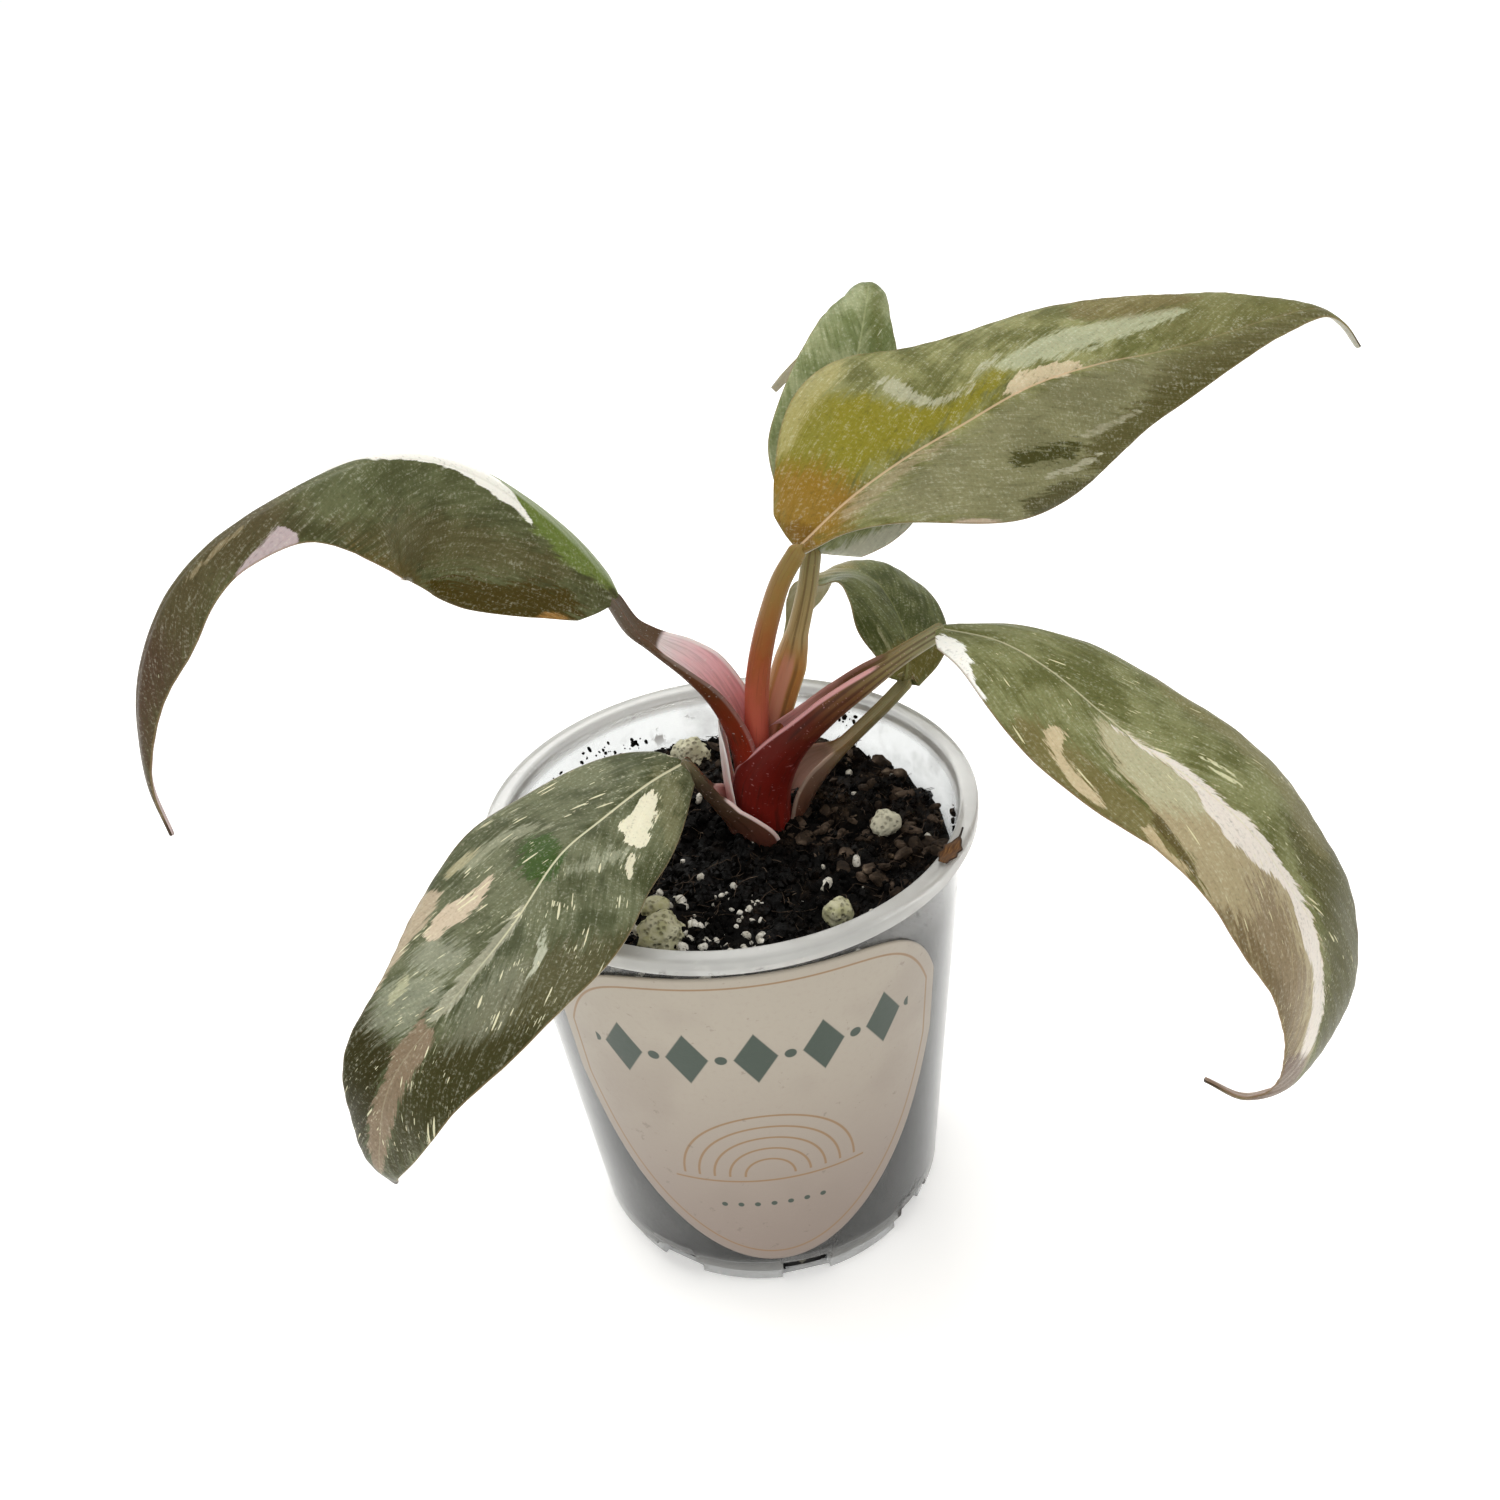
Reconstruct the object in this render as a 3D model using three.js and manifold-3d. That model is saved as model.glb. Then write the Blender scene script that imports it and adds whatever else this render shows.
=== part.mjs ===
// A young variegated philodendron in a small clear nursery cup.
// Millimetres, +Z up. The origin is the middle of the cup's underside and the front faces -Y.
// Six leaves on sheathed stalks rise from a short rootstock that stands in potting mix.

import * as THREE from 'three';
import { mergeVertices } from 'three/addons/utils/BufferGeometryUtils.js';
import Module from 'manifold-3d';

const wasm = await Module();
wasm.setup();

// Clearance between neighbours that touch on the real plant
const CLEARANCE = 0.3;

// Nursery cup
const RIM_RADIUS = 31;
const CUP_HEIGHT = 62;
const RIM_BAND = 2.2;
const RIM_BEVEL = 0.5;
const WALL_TOP_RADIUS = 29.2;
const WALL_FOOT_RADIUS = 23.4;
const WALL_THICKNESS = 0.9;
const WALL_MIDDLE = 30;
const FOOT_RADIUS = 22.2;
const FOOT_HEIGHT = 3;
const LEDGE_HEIGHT = FOOT_HEIGHT + 1;
const FLOOR_THICKNESS = 1;
const CUP_SIDES = 48;
const DRAIN_COUNT = 8;
const DRAIN_WIDTH = 6.5;
const DRAIN_DEPTH = 4;
const DRAIN_HEIGHT = 5;
const DRAIN_FIRST = THREE.MathUtils.degToRad(-82);

// Sticker on the front of the cup: heights on its centre line, and how far its outline moves
// up or down out to the ends
const LABEL_HALF_WIDTH = 24.75;
const LABEL_TOP = 58.2;
const LABEL_BOTTOM = 6;
const LABEL_SHOULDER = 12.5;
const LABEL_TAPER = 30;
const LABEL_THICKNESS = 0.3;
const LABEL_COLUMNS = 22;
const LABEL_ROWS = 5;

// Potting mix
const SOIL_LEVEL = 54.6;
const SOIL_SIDES = 36;
const SOIL_RINGS = 7;
const SOIL_EDGE_DROP = 1.5;
const LUMP_COUNT = 12;
const PERLITE_COUNT = 18;
const LUMP_NEAREST = 7;
const LUMP_SPREAD = 16;
const SEED = 20517;

// Crown of the plant, where the leaf stalks leave the mix
const CROWN = new THREE.Vector2(4, 6.6);
const STALK_FOOT = 53.8;
const ROOTSTOCK_TOP = STALK_FOOT - CLEARANCE;
const ROOTSTOCK_BASE = 41;
const ROOTSTOCK_RADIUS = 4.6;
const ROOT_RADIUS = 0.7;

// Leaf blades
const BLADE_THICKNESS = 0.7;
const BLADE_STEPS = 4;
const END_CROWDING = 0.11;
const WIDTH_STATIONS = [0, 0.06, 0.2, 0.4, 0.45, 0.5, 0.6, 0.7, 0.8, 0.92, 1];
const TILT_STATIONS = [0, 0.2, 0.4, 0.6, 0.8, 1];
const CURL = [-15, -18, -20, -20, -10, 0];
const BASE_LOBE = 2.5;
const LOBE_START = 0.04;
const LOBE_REACH = 0.3;
const EDGE_WAVE = 0.5;
const EDGE_WAVES = 3.5;

// Leaf stalks: the sections are arcs, open towards the crown and closed to a grooved rod higher up
const ROD_RADIUS = 1.2;
const ARC_STEPS = 7;
const STALK_STEP = 0.09;
const EDGE_THINNING = 0.35;
const GROOVE_DEPTH = 0.18;
const FLAT_SHARE = 0.94;
const FLAT_RISE = 0.12;

// A blade: its midrib, then for each half the half width in mm and the tilt in degrees above level.
// The left half is on the left when looking from the stalk towards the tip.
const LEAVES = {
  left: {
    colour: '#5f6641',
    heading: 187,
    rows: 28,
    midrib: [
      [-10.5, 5, 89.5], [-14.5, 4.5, 96.5], [-18.5, 3.5, 102.5], [-22.5, 1.8, 107.6],
      [-26.9, -0.4, 111.3], [-30.6, -3.2, 113.5], [-34.2, -6.5, 114.8], [-38.2, -9.6, 114.8],
      [-42.2, -12, 114], [-46, -13.8, 112.8], [-50.2, -15, 110.6], [-54.8, -16, 106.6],
      [-58.2, -16.8, 101.6], [-60.5, -17.4, 96.3], [-61.7, -18, 90.8], [-62.2, -18.5, 85.2],
      [-61.4, -19, 79.2],
    ],
    left: {
      widths: [1, 7, 14.5, 12.9, 12.9, 5.6, 5, 6.2, 3.7, 1.2, 0.5],
      tilts: [-65, -76, -60, -38, -50, -30],
    },
    right: {
      widths: [1, 5.2, 10.6, 12, 11, 9, 6, 3.8, 2.2, 1.2, 0.5],
      tilts: [10, -17, -33, -20, -5, 0],
    },
  },
  top: {
    colour: '#7d7a45',
    heading: 35,
    rows: 24,
    midrib: [
      [11.5, -1, 96.5], [17.5, 3, 99.5], [24.5, 8, 101.5], [32.5, 13, 103], [42, 19, 104.5],
      [52, 25, 104], [60, 29, 103], [68, 33, 102.5], [76.5, 37, 102.5], [84.5, 40, 102],
      [88, 41, 99.5], [90.5, 41, 96],
    ],
    left: {
      widths: [1, 8, 17, 13.5, 13.8, 14, 14, 12.2, 8.5, 1.2, 0.5],
      tilts: [10, 25, 15, 15, 15, 5],
    },
    right: {
      widths: [1, 2.5, 11.5, 14.5, 13.4, 11.5, 8, 5.5, 3.5, 1.2, 0.5],
      tilts: [-15, -30, -60, -45, -25, -25],
    },
  },
  right: {
    colour: '#6b6f4c',
    heading: -32,
    rows: 24,
    midrib: [
      [27, -2, 84.5], [33.5, -6, 84], [38.5, -10.5, 82], [43, -15.5, 79], [47.5, -20, 76],
      [52.5, -24, 73], [57, -28, 69], [60.5, -31, 63.5], [63, -33, 58.5], [64, -34, 52],
      [64, -34.5, 46], [63, -34, 39.5], [61, -33, 35], [57, -32, 33.5], [52.5, -31, 36],
    ],
    left: {
      widths: [1, 3.5, 12, 15, 14.9, 14.5, 12.5, 10.6, 8, 1.4, 0.5],
      tilts: [-10, -5, -5, 0, 15, 15],
    },
    right: {
      widths: [1, 6, 12, 13.5, 13.5, 13.5, 12.5, 9.6, 6, 2.2, 0.5],
      tilts: [5, -5, 0, -5, -20, -60],
    },
  },
  front: {
    colour: '#59644a',
    heading: 230,
    rows: 22,
    midrib: [
      [-5, 0, 68.5], [-9, -5, 69.5], [-15, -12, 69.5], [-19.5, -18, 69.5], [-25, -27, 67],
      [-31.5, -35, 64], [-37.5, -40, 60], [-39.5, -41.5, 57], [-41, -42, 52], [-42, -41.5, 47],
      [-41.5, -40, 43.5],
    ],
    left: {
      widths: [1, 4, 9.5, 12.5, 12.8, 12.8, 12, 10.2, 7.8, 3.2, 0.5],
      tilts: [-45, -20, -10, 0, 0, -10],
    },
    right: {
      widths: [1, 5.5, 11.5, 14.8, 14.7, 14.2, 12.3, 9.8, 7, 3.8, 0.6],
      tilts: [15, 0, -5, -5, 0, -5],
    },
  },
  back: {
    colour: '#5d6a4b',
    heading: 88,
    rows: 20,
    midrib: [
      [13.5, 8, 91.5], [16, 15, 96], [19, 22, 101], [22, 28, 107], [24, 33, 111.5], [25, 37.5, 113],
      [24.5, 42, 111.5], [22, 45.5, 107], [18, 47.5, 102], [14.5, 48.5, 98.5], [12.2, 48, 96.5],
    ],
    left: {
      widths: [1, 4.5, 8.5, 7.2, 6.4, 5.5, 3.4, 2.4, 1.8, 0.9, 0.5],
      tilts: [55, 25, 5, -25, -50, -40],
    },
    right: {
      widths: [1, 8, 12.5, 7.4, 6, 4.6, 2.6, 2, 1.8, 0.9, 0.5],
      tilts: [-5, -20, -35, -35, -15, 0],
    },
  },
  middle: {
    colour: '#5a6446',
    heading: 100,
    rows: 18,
    midrib: [
      [24.5, 14, 68.5], [25.5, 19, 70], [25, 25, 72], [23, 31, 74], [19.5, 36, 74], [16, 39, 72],
      [13.5, 40.5, 68.5], [11.5, 41, 64], [10, 41, 60.5],
    ],
    left: {
      widths: [1, 3, 7.5, 7, 6.8, 6.5, 6, 4.6, 3, 1, 0.5],
      tilts: [10, 25, 30, -10, -15, -15],
    },
    right: {
      widths: [1, 2.5, 6.5, 8, 7.2, 6, 4, 4.6, 5.5, 1.2, 0.5],
      tilts: [-15, -20, -25, 10, 25, 15],
    },
  },
};

// A stalk: the line of its back from the crown to the blade, then the sections along it as
// [share of the length, arc radius, half angle in degrees, wall thickness, solid share].
// The solid share is 0 for an open sheath and 1 for a rod.
// The back faces along the azimuth "back", in degrees.
const STALKS = {
  top: {
    colour: '#a85c38',
    back: -60,
    line: [
      [3.6, 5.8, 53.8], [4.2, 5.7, 62], [4.8, 5.5, 70], [5.4, 4.7, 76], [6.4, 3.5, 81.6],
      [7.7, 2, 86.9], [9.3, 0.5, 92], [11.3, -0.8, 96],
    ],
    sections: [
      [0, 1.3, 115, 1, 1], [0.3, 1.55, 110, 0.9, 1], [0.6, 1.45, 120, 0.9, 1], [1, 1.15, 125, 0.8, 1],
    ],
  },
  back: {
    colour: '#94823f',
    back: 215,
    line: [
      [5.7, 8.1, 53.8], [6, 8, 62], [6.6, 8.2, 68], [7.6, 8.4, 72], [9, 8.5, 76], [10.9, 8.3, 81],
      [12.5, 8.1, 86.5], [13.4, 7.9, 91],
    ],
    sections: [
      [0, 1.2, 100, 0.9, 1], [0.3, 1.5, 105, 0.8, 0.5], [0.42, 2.1, 100, 0.7, 0],
      [0.58, 2.3, 98, 0.7, 0], [0.66, 1.9, 104, 0.7, 0.2], [0.73, 1.4, 118, 0.8, 1],
      [1, 1.2, 125, 0.8, 1],
    ],
  },
  left: {
    colour: '#8d4438',
    back: 166,
    line: [
      [2.6, 6.6, 53.8], [2.5, 6.6, 57.6], [2.4, 6.6, 61.5], [2.3, 6.6, 65.2], [1.5, 6.5, 70],
      [-0.5, 6.2, 75.1], [-3.1, 5.8, 79.1], [-7, 5.4, 83.3], [-8.9, 5.2, 85.4], [-10.5, 5, 89.2],
    ],
    sections: [
      [0, 2.6, 120, 0.7, 0], [0.25, 2.8, 110, 0.7, 0], [0.45, 3, 102, 0.7, 0], [0.6, 3, 98, 0.7, 0],
      [0.7, 2.6, 90, 0.7, 0], [0.77, 2, 92, 0.7, 0.2], [0.82, 1.5, 112, 0.8, 0.9],
      [0.87, 1.3, 120, 0.8, 1], [1, 1.1, 125, 0.8, 1],
    ],
  },
  right: {
    colour: '#6f2f2e',
    back: -20,
    line: [
      [6.5, 5.2, 53.8], [6.8, 5, 59.5], [9.1, 3.8, 66], [13.5, 2, 71.9], [18.2, 0.4, 76.7],
      [22.4, -0.9, 80.8], [26.6, -1.9, 84],
    ],
    sections: [
      [0, 3.6, 150, 0.7, 0], [0.2, 3.9, 150, 0.7, 0], [0.3, 3.4, 135, 0.7, 0],
      [0.42, 2.7, 128, 0.7, 0], [0.58, 2.3, 122, 0.8, 0], [0.7, 2.1, 114, 0.8, 0],
      [0.78, 1.8, 110, 0.9, 0.3], [0.84, 1.5, 116, 0.9, 0.9], [1, 1.25, 120, 0.8, 1],
    ],
  },
  middle: {
    colour: '#7d6a4c',
    back: 20,
    line: [
      [8.2, 8.2, 53.8], [9.9, 9, 56.8], [12.3, 10.2, 59.2], [15, 11.4, 61], [18, 12.5, 63],
      [21.5, 13.5, 65.6], [24.2, 13.9, 68.1],
    ],
    sections: [
      [0, 3.4, 84, 0.7, 0], [0.16, 3.7, 94, 0.7, 0], [0.3, 3.3, 92, 0.7, 0], [0.38, 2.4, 96, 0.7, 0.1],
      [0.46, 1.4, 112, 0.8, 0.8], [0.53, 1.05, 120, 0.8, 1], [1, 0.95, 125, 0.8, 1],
    ],
  },
  front: {
    colour: '#66443a',
    back: 200,
    line: [
      [1, 3.9, 53.8], [0.6, 3.2, 56.7], [-1, 2.2, 60.6], [-2.7, 1, 64.5], [-4.3, 0.1, 68.1],
    ],
    sections: [
      [0, 4.8, 94, 0.6, 0], [0.14, 4.8, 88, 0.6, 0], [0.28, 4.3, 80, 0.6, 0], [0.42, 3.3, 78, 0.6, 0],
      [0.54, 2, 96, 0.7, 0.2], [0.64, 1.35, 115, 0.8, 1], [1, 1.15, 125, 0.8, 1],
    ],
  },
};

// Roots under the rootstock, each a short list of points
const ROOTS = [
  [[4, 6.6, 43], [0, 4, 35], [-6, 2, 24], [-9, -3, 12]],
  [[4, 6.6, 43], [10, 7, 36], [14, 5, 25], [12, 1, 13]],
  [[4, 6.6, 42], [4, 11, 33], [2, 15, 21], [5, 14, 10]],
  [[4, 6.6, 42], [6, 1, 34], [5, -8, 23], [8, -13, 12]],
];

// Pieces of pumice that stand out in the mix: x, y, radius
const PUMICE = [
  [-9.7, -15.7, 2.9], [-10.2, -10.7, 1.7], [-4.8, 22.6, 2.6], [11.7, -15.4, 1.8], [19.4, 0.5, 1.9],
];

// Dried flake that lies over the rim
const FLAKE_AZIMUTH = THREE.MathUtils.degToRad(-31);
const FLAKE_LENGTH = 8;
const FLAKE_WIDTH = 4;
const FLAKE_THICKNESS = 0.6;
const FLAKE_STEPS = 8;
const FLAKE_CURL_ALONG = 0.035;
const FLAKE_CURL_ACROSS = 0.06;

// Repeatable random numbers from 0 to 1
function makeRandom(seed) {
  let state = seed;
  return () => {
    state = (state * 1664525 + 1013904223) % 4294967296;
    return state / 4294967296;
  };
}

// Smooth value at t through values at rising stations, without overshoot
function smoothValue(stations, values, t) {
  const last = stations.length - 1;
  const rise = stations.slice(1).map((s, k) => (values[k + 1] - values[k]) / (s - stations[k]));
  const slopeAt = (k) => {
    if (k === 0 || k === last) {
      return k === 0 ? rise[0] : rise[last - 1];
    }
    const before = rise[k - 1];
    const after = rise[k];
    if (before * after <= 0) {
      return 0;
    }
    const limit = 3 * Math.min(Math.abs(before), Math.abs(after));
    return Math.sign(before) * Math.min(Math.abs(before + after) / 2, limit);
  };
  let k = 0;
  while (k < last - 1 && t > stations[k + 1]) {
    k += 1;
  }
  const span = stations[k + 1] - stations[k];
  const f = (t - stations[k]) / span;
  const start = (2 * f - 3) * f * f + 1;
  return start * values[k] + (1 - start) * values[k + 1]
    + ((f - 2) * f + 1) * f * span * slopeAt(k) + (f - 1) * f * f * span * slopeAt(k + 1);
}

// Curve through points given as [x, y, z]
function curveThrough(points) {
  return new THREE.CatmullRomCurve3(points.map((p) => new THREE.Vector3(...p)), false, 'centripetal');
}

// Geometry from a list of points and a list of corner numbers
function meshFrom(points, corners) {
  const geometry = new THREE.BufferGeometry();
  const places = points.flatMap((point) => point.toArray());
  geometry.setAttribute('position', new THREE.Float32BufferAttribute(places, 3));
  geometry.setIndex(corners);
  return geometry;
}

// Solid for joining and cutting from a closed geometry
function toSolid(geometry) {
  const bare = geometry.clone();
  bare.deleteAttribute('normal');
  bare.deleteAttribute('uv');
  const merged = mergeVertices(bare, 1e-4);
  const corners = [];
  const index = merged.index.array;
  for (let k = 0; k < index.length; k += 3) {
    const [a, b, c] = [index[k], index[k + 1], index[k + 2]];
    if (a !== b && b !== c && c !== a) {
      corners.push(a, b, c);
    }
  }
  return new wasm.Manifold(new wasm.Mesh({
    numProp: 3,
    vertProperties: new Float32Array(merged.attributes.position.array),
    triVerts: new Uint32Array(corners),
  }));
}

// Geometry back from a solid, with any loose scrap that a cut left behind dropped
function toGeometry(solid) {
  const pieces = solid.decompose().sort((a, b) => b.volume() - a.volume());
  const mesh = pieces[0].getMesh();
  const geometry = new THREE.BufferGeometry();
  const places = Float32Array.from(mesh.vertProperties);
  geometry.setAttribute('position', new THREE.BufferAttribute(places, 3));
  geometry.setIndex(new THREE.BufferAttribute(Uint32Array.from(mesh.triVerts), 1));
  return geometry;
}

// Closed sheet of one thickness on a grid of points, with its two faces split into the same triangles
function closedSheet(grid, thickness) {
  const rows = grid.length;
  const columns = grid[0].length;
  const points = [];
  for (const side of [0.5, -0.5]) {
    for (let j = 0; j < rows; j += 1) {
      for (let i = 0; i < columns; i += 1) {
        const across = grid[j][Math.min(i + 1, columns - 1)].clone().sub(grid[j][Math.max(i - 1, 0)]);
        const along = grid[Math.min(j + 1, rows - 1)][i].clone().sub(grid[Math.max(j - 1, 0)][i]);
        const normal = across.cross(along).normalize();
        points.push(grid[j][i].clone().addScaledVector(normal, side * thickness));
      }
    }
  }
  const corners = [];
  const lower = rows * columns;
  const at = (j, i) => j * columns + i;
  for (let j = 0; j + 1 < rows; j += 1) {
    for (let i = 0; i + 1 < columns; i += 1) {
      const [a, b, c, d] = [at(j, i), at(j, i + 1), at(j + 1, i + 1), at(j + 1, i)];
      corners.push(a, b, c, a, c, d);
      corners.push(lower + a, lower + c, lower + b, lower + a, lower + d, lower + c);
    }
  }
  const edge = [];
  for (let i = 0; i < columns - 1; i += 1) edge.push(at(0, i));
  for (let j = 0; j < rows - 1; j += 1) edge.push(at(j, columns - 1));
  for (let i = columns - 1; i > 0; i -= 1) edge.push(at(rows - 1, i));
  for (let j = rows - 1; j > 0; j -= 1) edge.push(at(j, 0));
  edge.forEach((a, k) => {
    const b = edge[(k + 1) % edge.length];
    corners.push(a, lower + a, b, b, lower + a, lower + b);
  });
  return meshFrom(points, corners);
}

// Half of a blade's section, from the midrib out to the edge
function halfSection(half, side, v, origin, across, up, along, steps) {
  const width = smoothValue(WIDTH_STATIONS, half.widths, v);
  const tilt = smoothValue(TILT_STATIONS, half.tilts, v);
  const curl = smoothValue(TILT_STATIONS, CURL, v);
  const point = origin.clone();
  const section = [];
  const lobe = BASE_LOBE * Math.max(0, 1 - v / LOBE_REACH) ** 1.5 * Math.min(1, v / LOBE_START);
  const wave = EDGE_WAVE * Math.sin(Math.PI * v) * Math.sin(2 * Math.PI * (EDGE_WAVES * v + 0.3 * side));
  for (let k = 1; k <= steps; k += 1) {
    const u = k / steps;
    const angle = THREE.MathUtils.degToRad(tilt + curl * (u - 0.5 / steps - 0.5));
    point.addScaledVector(across, side * Math.cos(angle) * width / steps);
    point.addScaledVector(up, Math.sin(angle) * width / steps);
    const back = lobe * Math.sin(u * Math.PI / 2);
    section.push(point.clone().addScaledVector(along, -back).addScaledVector(up, wave * u * u));
  }
  return section;
}

// Grid of points over a blade, row by row from the stalk to the tip
function bladeGrid(leaf, steps) {
  const midrib = curveThrough(leaf.midrib);
  const azimuth = THREE.MathUtils.degToRad(leaf.heading);
  const sideways = new THREE.Vector3(Math.sin(azimuth), -Math.cos(azimuth), 0);
  const grid = [];
  for (let j = 0; j <= leaf.rows; j += 1) {
    const t = j / leaf.rows;
    const v = t - END_CROWDING * Math.sin(2 * Math.PI * t);
    const origin = midrib.getPointAt(v);
    const along = midrib.getTangentAt(v);
    const across = sideways.clone().addScaledVector(along, -along.dot(sideways)).normalize();
    const up = across.clone().cross(along);
    const left = halfSection(leaf.left, -1, v, origin, across, up, along, steps);
    const right = halfSection(leaf.right, 1, v, origin, across, up, along, steps);
    grid.push([...left.reverse(), origin, ...right]);
  }
  return grid;
}

// One section of a stalk: an arc open towards the crown, which fills up to a flat-topped rod
function stalkSection(numbers, centreOffset, frame, extra) {
  const [radius, halfAngle, wall, solidShare] = numbers;
  const { point, back, side } = frame;
  const half = THREE.MathUtils.degToRad(halfAngle) + extra / radius;
  const centre = point.clone().addScaledVector(back, centreOffset);
  const place = (a, b) => centre.clone().addScaledVector(side, a).addScaledVector(back, b);
  const outer = [];
  const inner = [];
  const top = (radius + extra) * Math.cos(half) - extra;
  for (let k = 0; k <= ARC_STEPS; k += 1) {
    const share = 2 * k / ARC_STEPS - 1;
    const angle = half * share;
    const outRadius = radius + extra;
    const inRadius = radius - wall * (1 - EDGE_THINNING * share * share) - extra;
    const rodA = FLAT_SHARE * outRadius * Math.sin(half) * share;
    const rodB = top + radius * (FLAT_RISE + GROOVE_DEPTH * (1 - share * share));
    outer.push(place(outRadius * Math.sin(angle), outRadius * Math.cos(angle)));
    inner.push(place(
      (1 - solidShare) * inRadius * Math.sin(angle) + solidShare * rodA,
      (1 - solidShare) * inRadius * Math.cos(angle) + solidShare * rodB,
    ));
  }
  return [...outer, ...inner.reverse()];
}

// Stalk swept along its line; extra makes it larger all round, for the room it needs in its neighbours
function stalkGeometry(stalk, extra = 0) {
  const line = curveThrough(stalk.line);
  const azimuth = THREE.MathUtils.degToRad(stalk.back);
  const outwards = new THREE.Vector3(Math.cos(azimuth), Math.sin(azimuth), 0);
  const stations = stalk.sections.map((section) => section[0]);
  const number = (k, t) => smoothValue(stations, stalk.sections.map((section) => section[k]), t);
  const shares = [];
  stations.slice(1).forEach((end, k) => {
    const start = stations[k];
    const pieces = Math.max(1, Math.round((end - start) / STALK_STEP));
    for (let i = 0; i < pieces; i += 1) {
      shares.push(start + (end - start) * i / pieces);
    }
  });
  shares.push(1);
  const points = [];
  shares.forEach((t, k) => {
    const along = line.getTangentAt(t);
    const point = line.getPointAt(t);
    if (k === 0 || k === shares.length - 1) {
      point.addScaledVector(along, (k === 0 ? -1 : 1) * extra);
    }
    const back = outwards.clone().addScaledVector(along, -along.dot(outwards)).normalize();
    const side = along.clone().cross(back);
    const numbers = [1, 2, 3, 4].map((column) => number(column, t));
    points.push(...stalkSection(numbers, ROD_RADIUS - numbers[0], { point, back, side }, extra));
  });
  return tubeBetween(points, 2 * (ARC_STEPS + 1));
}

// Closed tube over rings of points, its ends closed between the outer and the inner arc
function tubeBetween(points, ring) {
  const rings = points.length / ring;
  const corners = [];
  for (let j = 0; j + 1 < rings; j += 1) {
    for (let i = 0; i < ring; i += 1) {
      const a = j * ring + i;
      const b = j * ring + (i + 1) % ring;
      corners.push(a, b, b + ring, a, b + ring, a + ring);
    }
  }
  const last = (rings - 1) * ring;
  for (let i = 0; i + 1 < ring / 2; i += 1) {
    const [a, b, c, d] = [i, i + 1, ring - 2 - i, ring - 1 - i];
    corners.push(a, c, b, a, d, c);
    corners.push(last + a, last + b, last + c, last + a, last + c, last + d);
  }
  return meshFrom(points, corners);
}

// Round tube along points, run on a little past the last one
function rootGeometry(points, radius, runOn) {
  const outline = new THREE.Shape();
  outline.absarc(0, 0, radius, 0, 2 * Math.PI);
  const [before, tip] = points.slice(-2).map((p) => new THREE.Vector3(...p));
  const end = tip.clone().addScaledVector(tip.clone().sub(before).normalize(), runOn);
  return new THREE.ExtrudeGeometry(outline, {
    steps: 9,
    curveSegments: 3,
    bevelEnabled: false,
    extrudePath: curveThrough([...points.slice(0, -1), end.toArray()]),
  });
}

// Rootstock with its roots, larger all round by extra
function rootstockSolid(extra) {
  const height = ROOTSTOCK_TOP - ROOTSTOCK_BASE + 2 * extra;
  const radius = ROOTSTOCK_RADIUS + extra;
  const stock = new THREE.CylinderGeometry(radius, 0.6 * ROOTSTOCK_RADIUS + extra, height, 14);
  stock.rotateX(Math.PI / 2);
  stock.translate(CROWN.x, CROWN.y, (ROOTSTOCK_TOP + ROOTSTOCK_BASE) / 2);
  const roots = ROOTS.map((points) => toSolid(rootGeometry(points, ROOT_RADIUS + extra, extra)));
  return roots.reduce((solid, root) => solid.add(root), toSolid(stock));
}

// Radius of the cup's outer wall at a height
function wallRadius(z) {
  const share = (z - FOOT_HEIGHT) / (CUP_HEIGHT - RIM_BAND - FOOT_HEIGHT);
  return THREE.MathUtils.lerp(WALL_FOOT_RADIUS, WALL_TOP_RADIUS, share);
}

// Cup: tapered wall with a rim band, a stepped foot and drain slots round the foot
function cupGeometry() {
  const band = CUP_HEIGHT - RIM_BAND;
  const inner = (z) => wallRadius(z) - WALL_THICKNESS;
  const profile = [
    [0, 0], [FOOT_RADIUS - RIM_BEVEL, 0], [FOOT_RADIUS, RIM_BEVEL], [FOOT_RADIUS, FOOT_HEIGHT],
    [WALL_FOOT_RADIUS, FOOT_HEIGHT], [wallRadius(WALL_MIDDLE), WALL_MIDDLE], [wallRadius(band), band],
    [RIM_RADIUS - RIM_BEVEL, band], [RIM_RADIUS, band + RIM_BEVEL],
    [RIM_RADIUS, CUP_HEIGHT - RIM_BEVEL], [RIM_RADIUS - RIM_BEVEL, CUP_HEIGHT],
    [inner(band) + RIM_BEVEL, CUP_HEIGHT], [inner(band), CUP_HEIGHT - RIM_BEVEL],
    [inner(WALL_MIDDLE), WALL_MIDDLE], [inner(LEDGE_HEIGHT), LEDGE_HEIGHT],
    [FOOT_RADIUS - WALL_THICKNESS, LEDGE_HEIGHT - 0.1], [FOOT_RADIUS - WALL_THICKNESS, FLOOR_THICKNESS],
    [0, FLOOR_THICKNESS],
  ];
  const turned = new THREE.LatheGeometry(profile.map(([r, z]) => new THREE.Vector2(r, z)), CUP_SIDES);
  turned.rotateX(Math.PI / 2);
  let cup = toSolid(turned);
  for (let k = 0; k < DRAIN_COUNT; k += 1) {
    const slot = new THREE.BoxGeometry(DRAIN_DEPTH, DRAIN_WIDTH, DRAIN_HEIGHT);
    slot.translate(FOOT_RADIUS - 1.1 + DRAIN_DEPTH / 2, 0, DRAIN_HEIGHT / 2 - 0.5);
    slot.rotateZ(DRAIN_FIRST + k * 2 * Math.PI / DRAIN_COUNT);
    cup = cup.subtract(toSolid(slot));
  }
  return toGeometry(cup);
}

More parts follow.
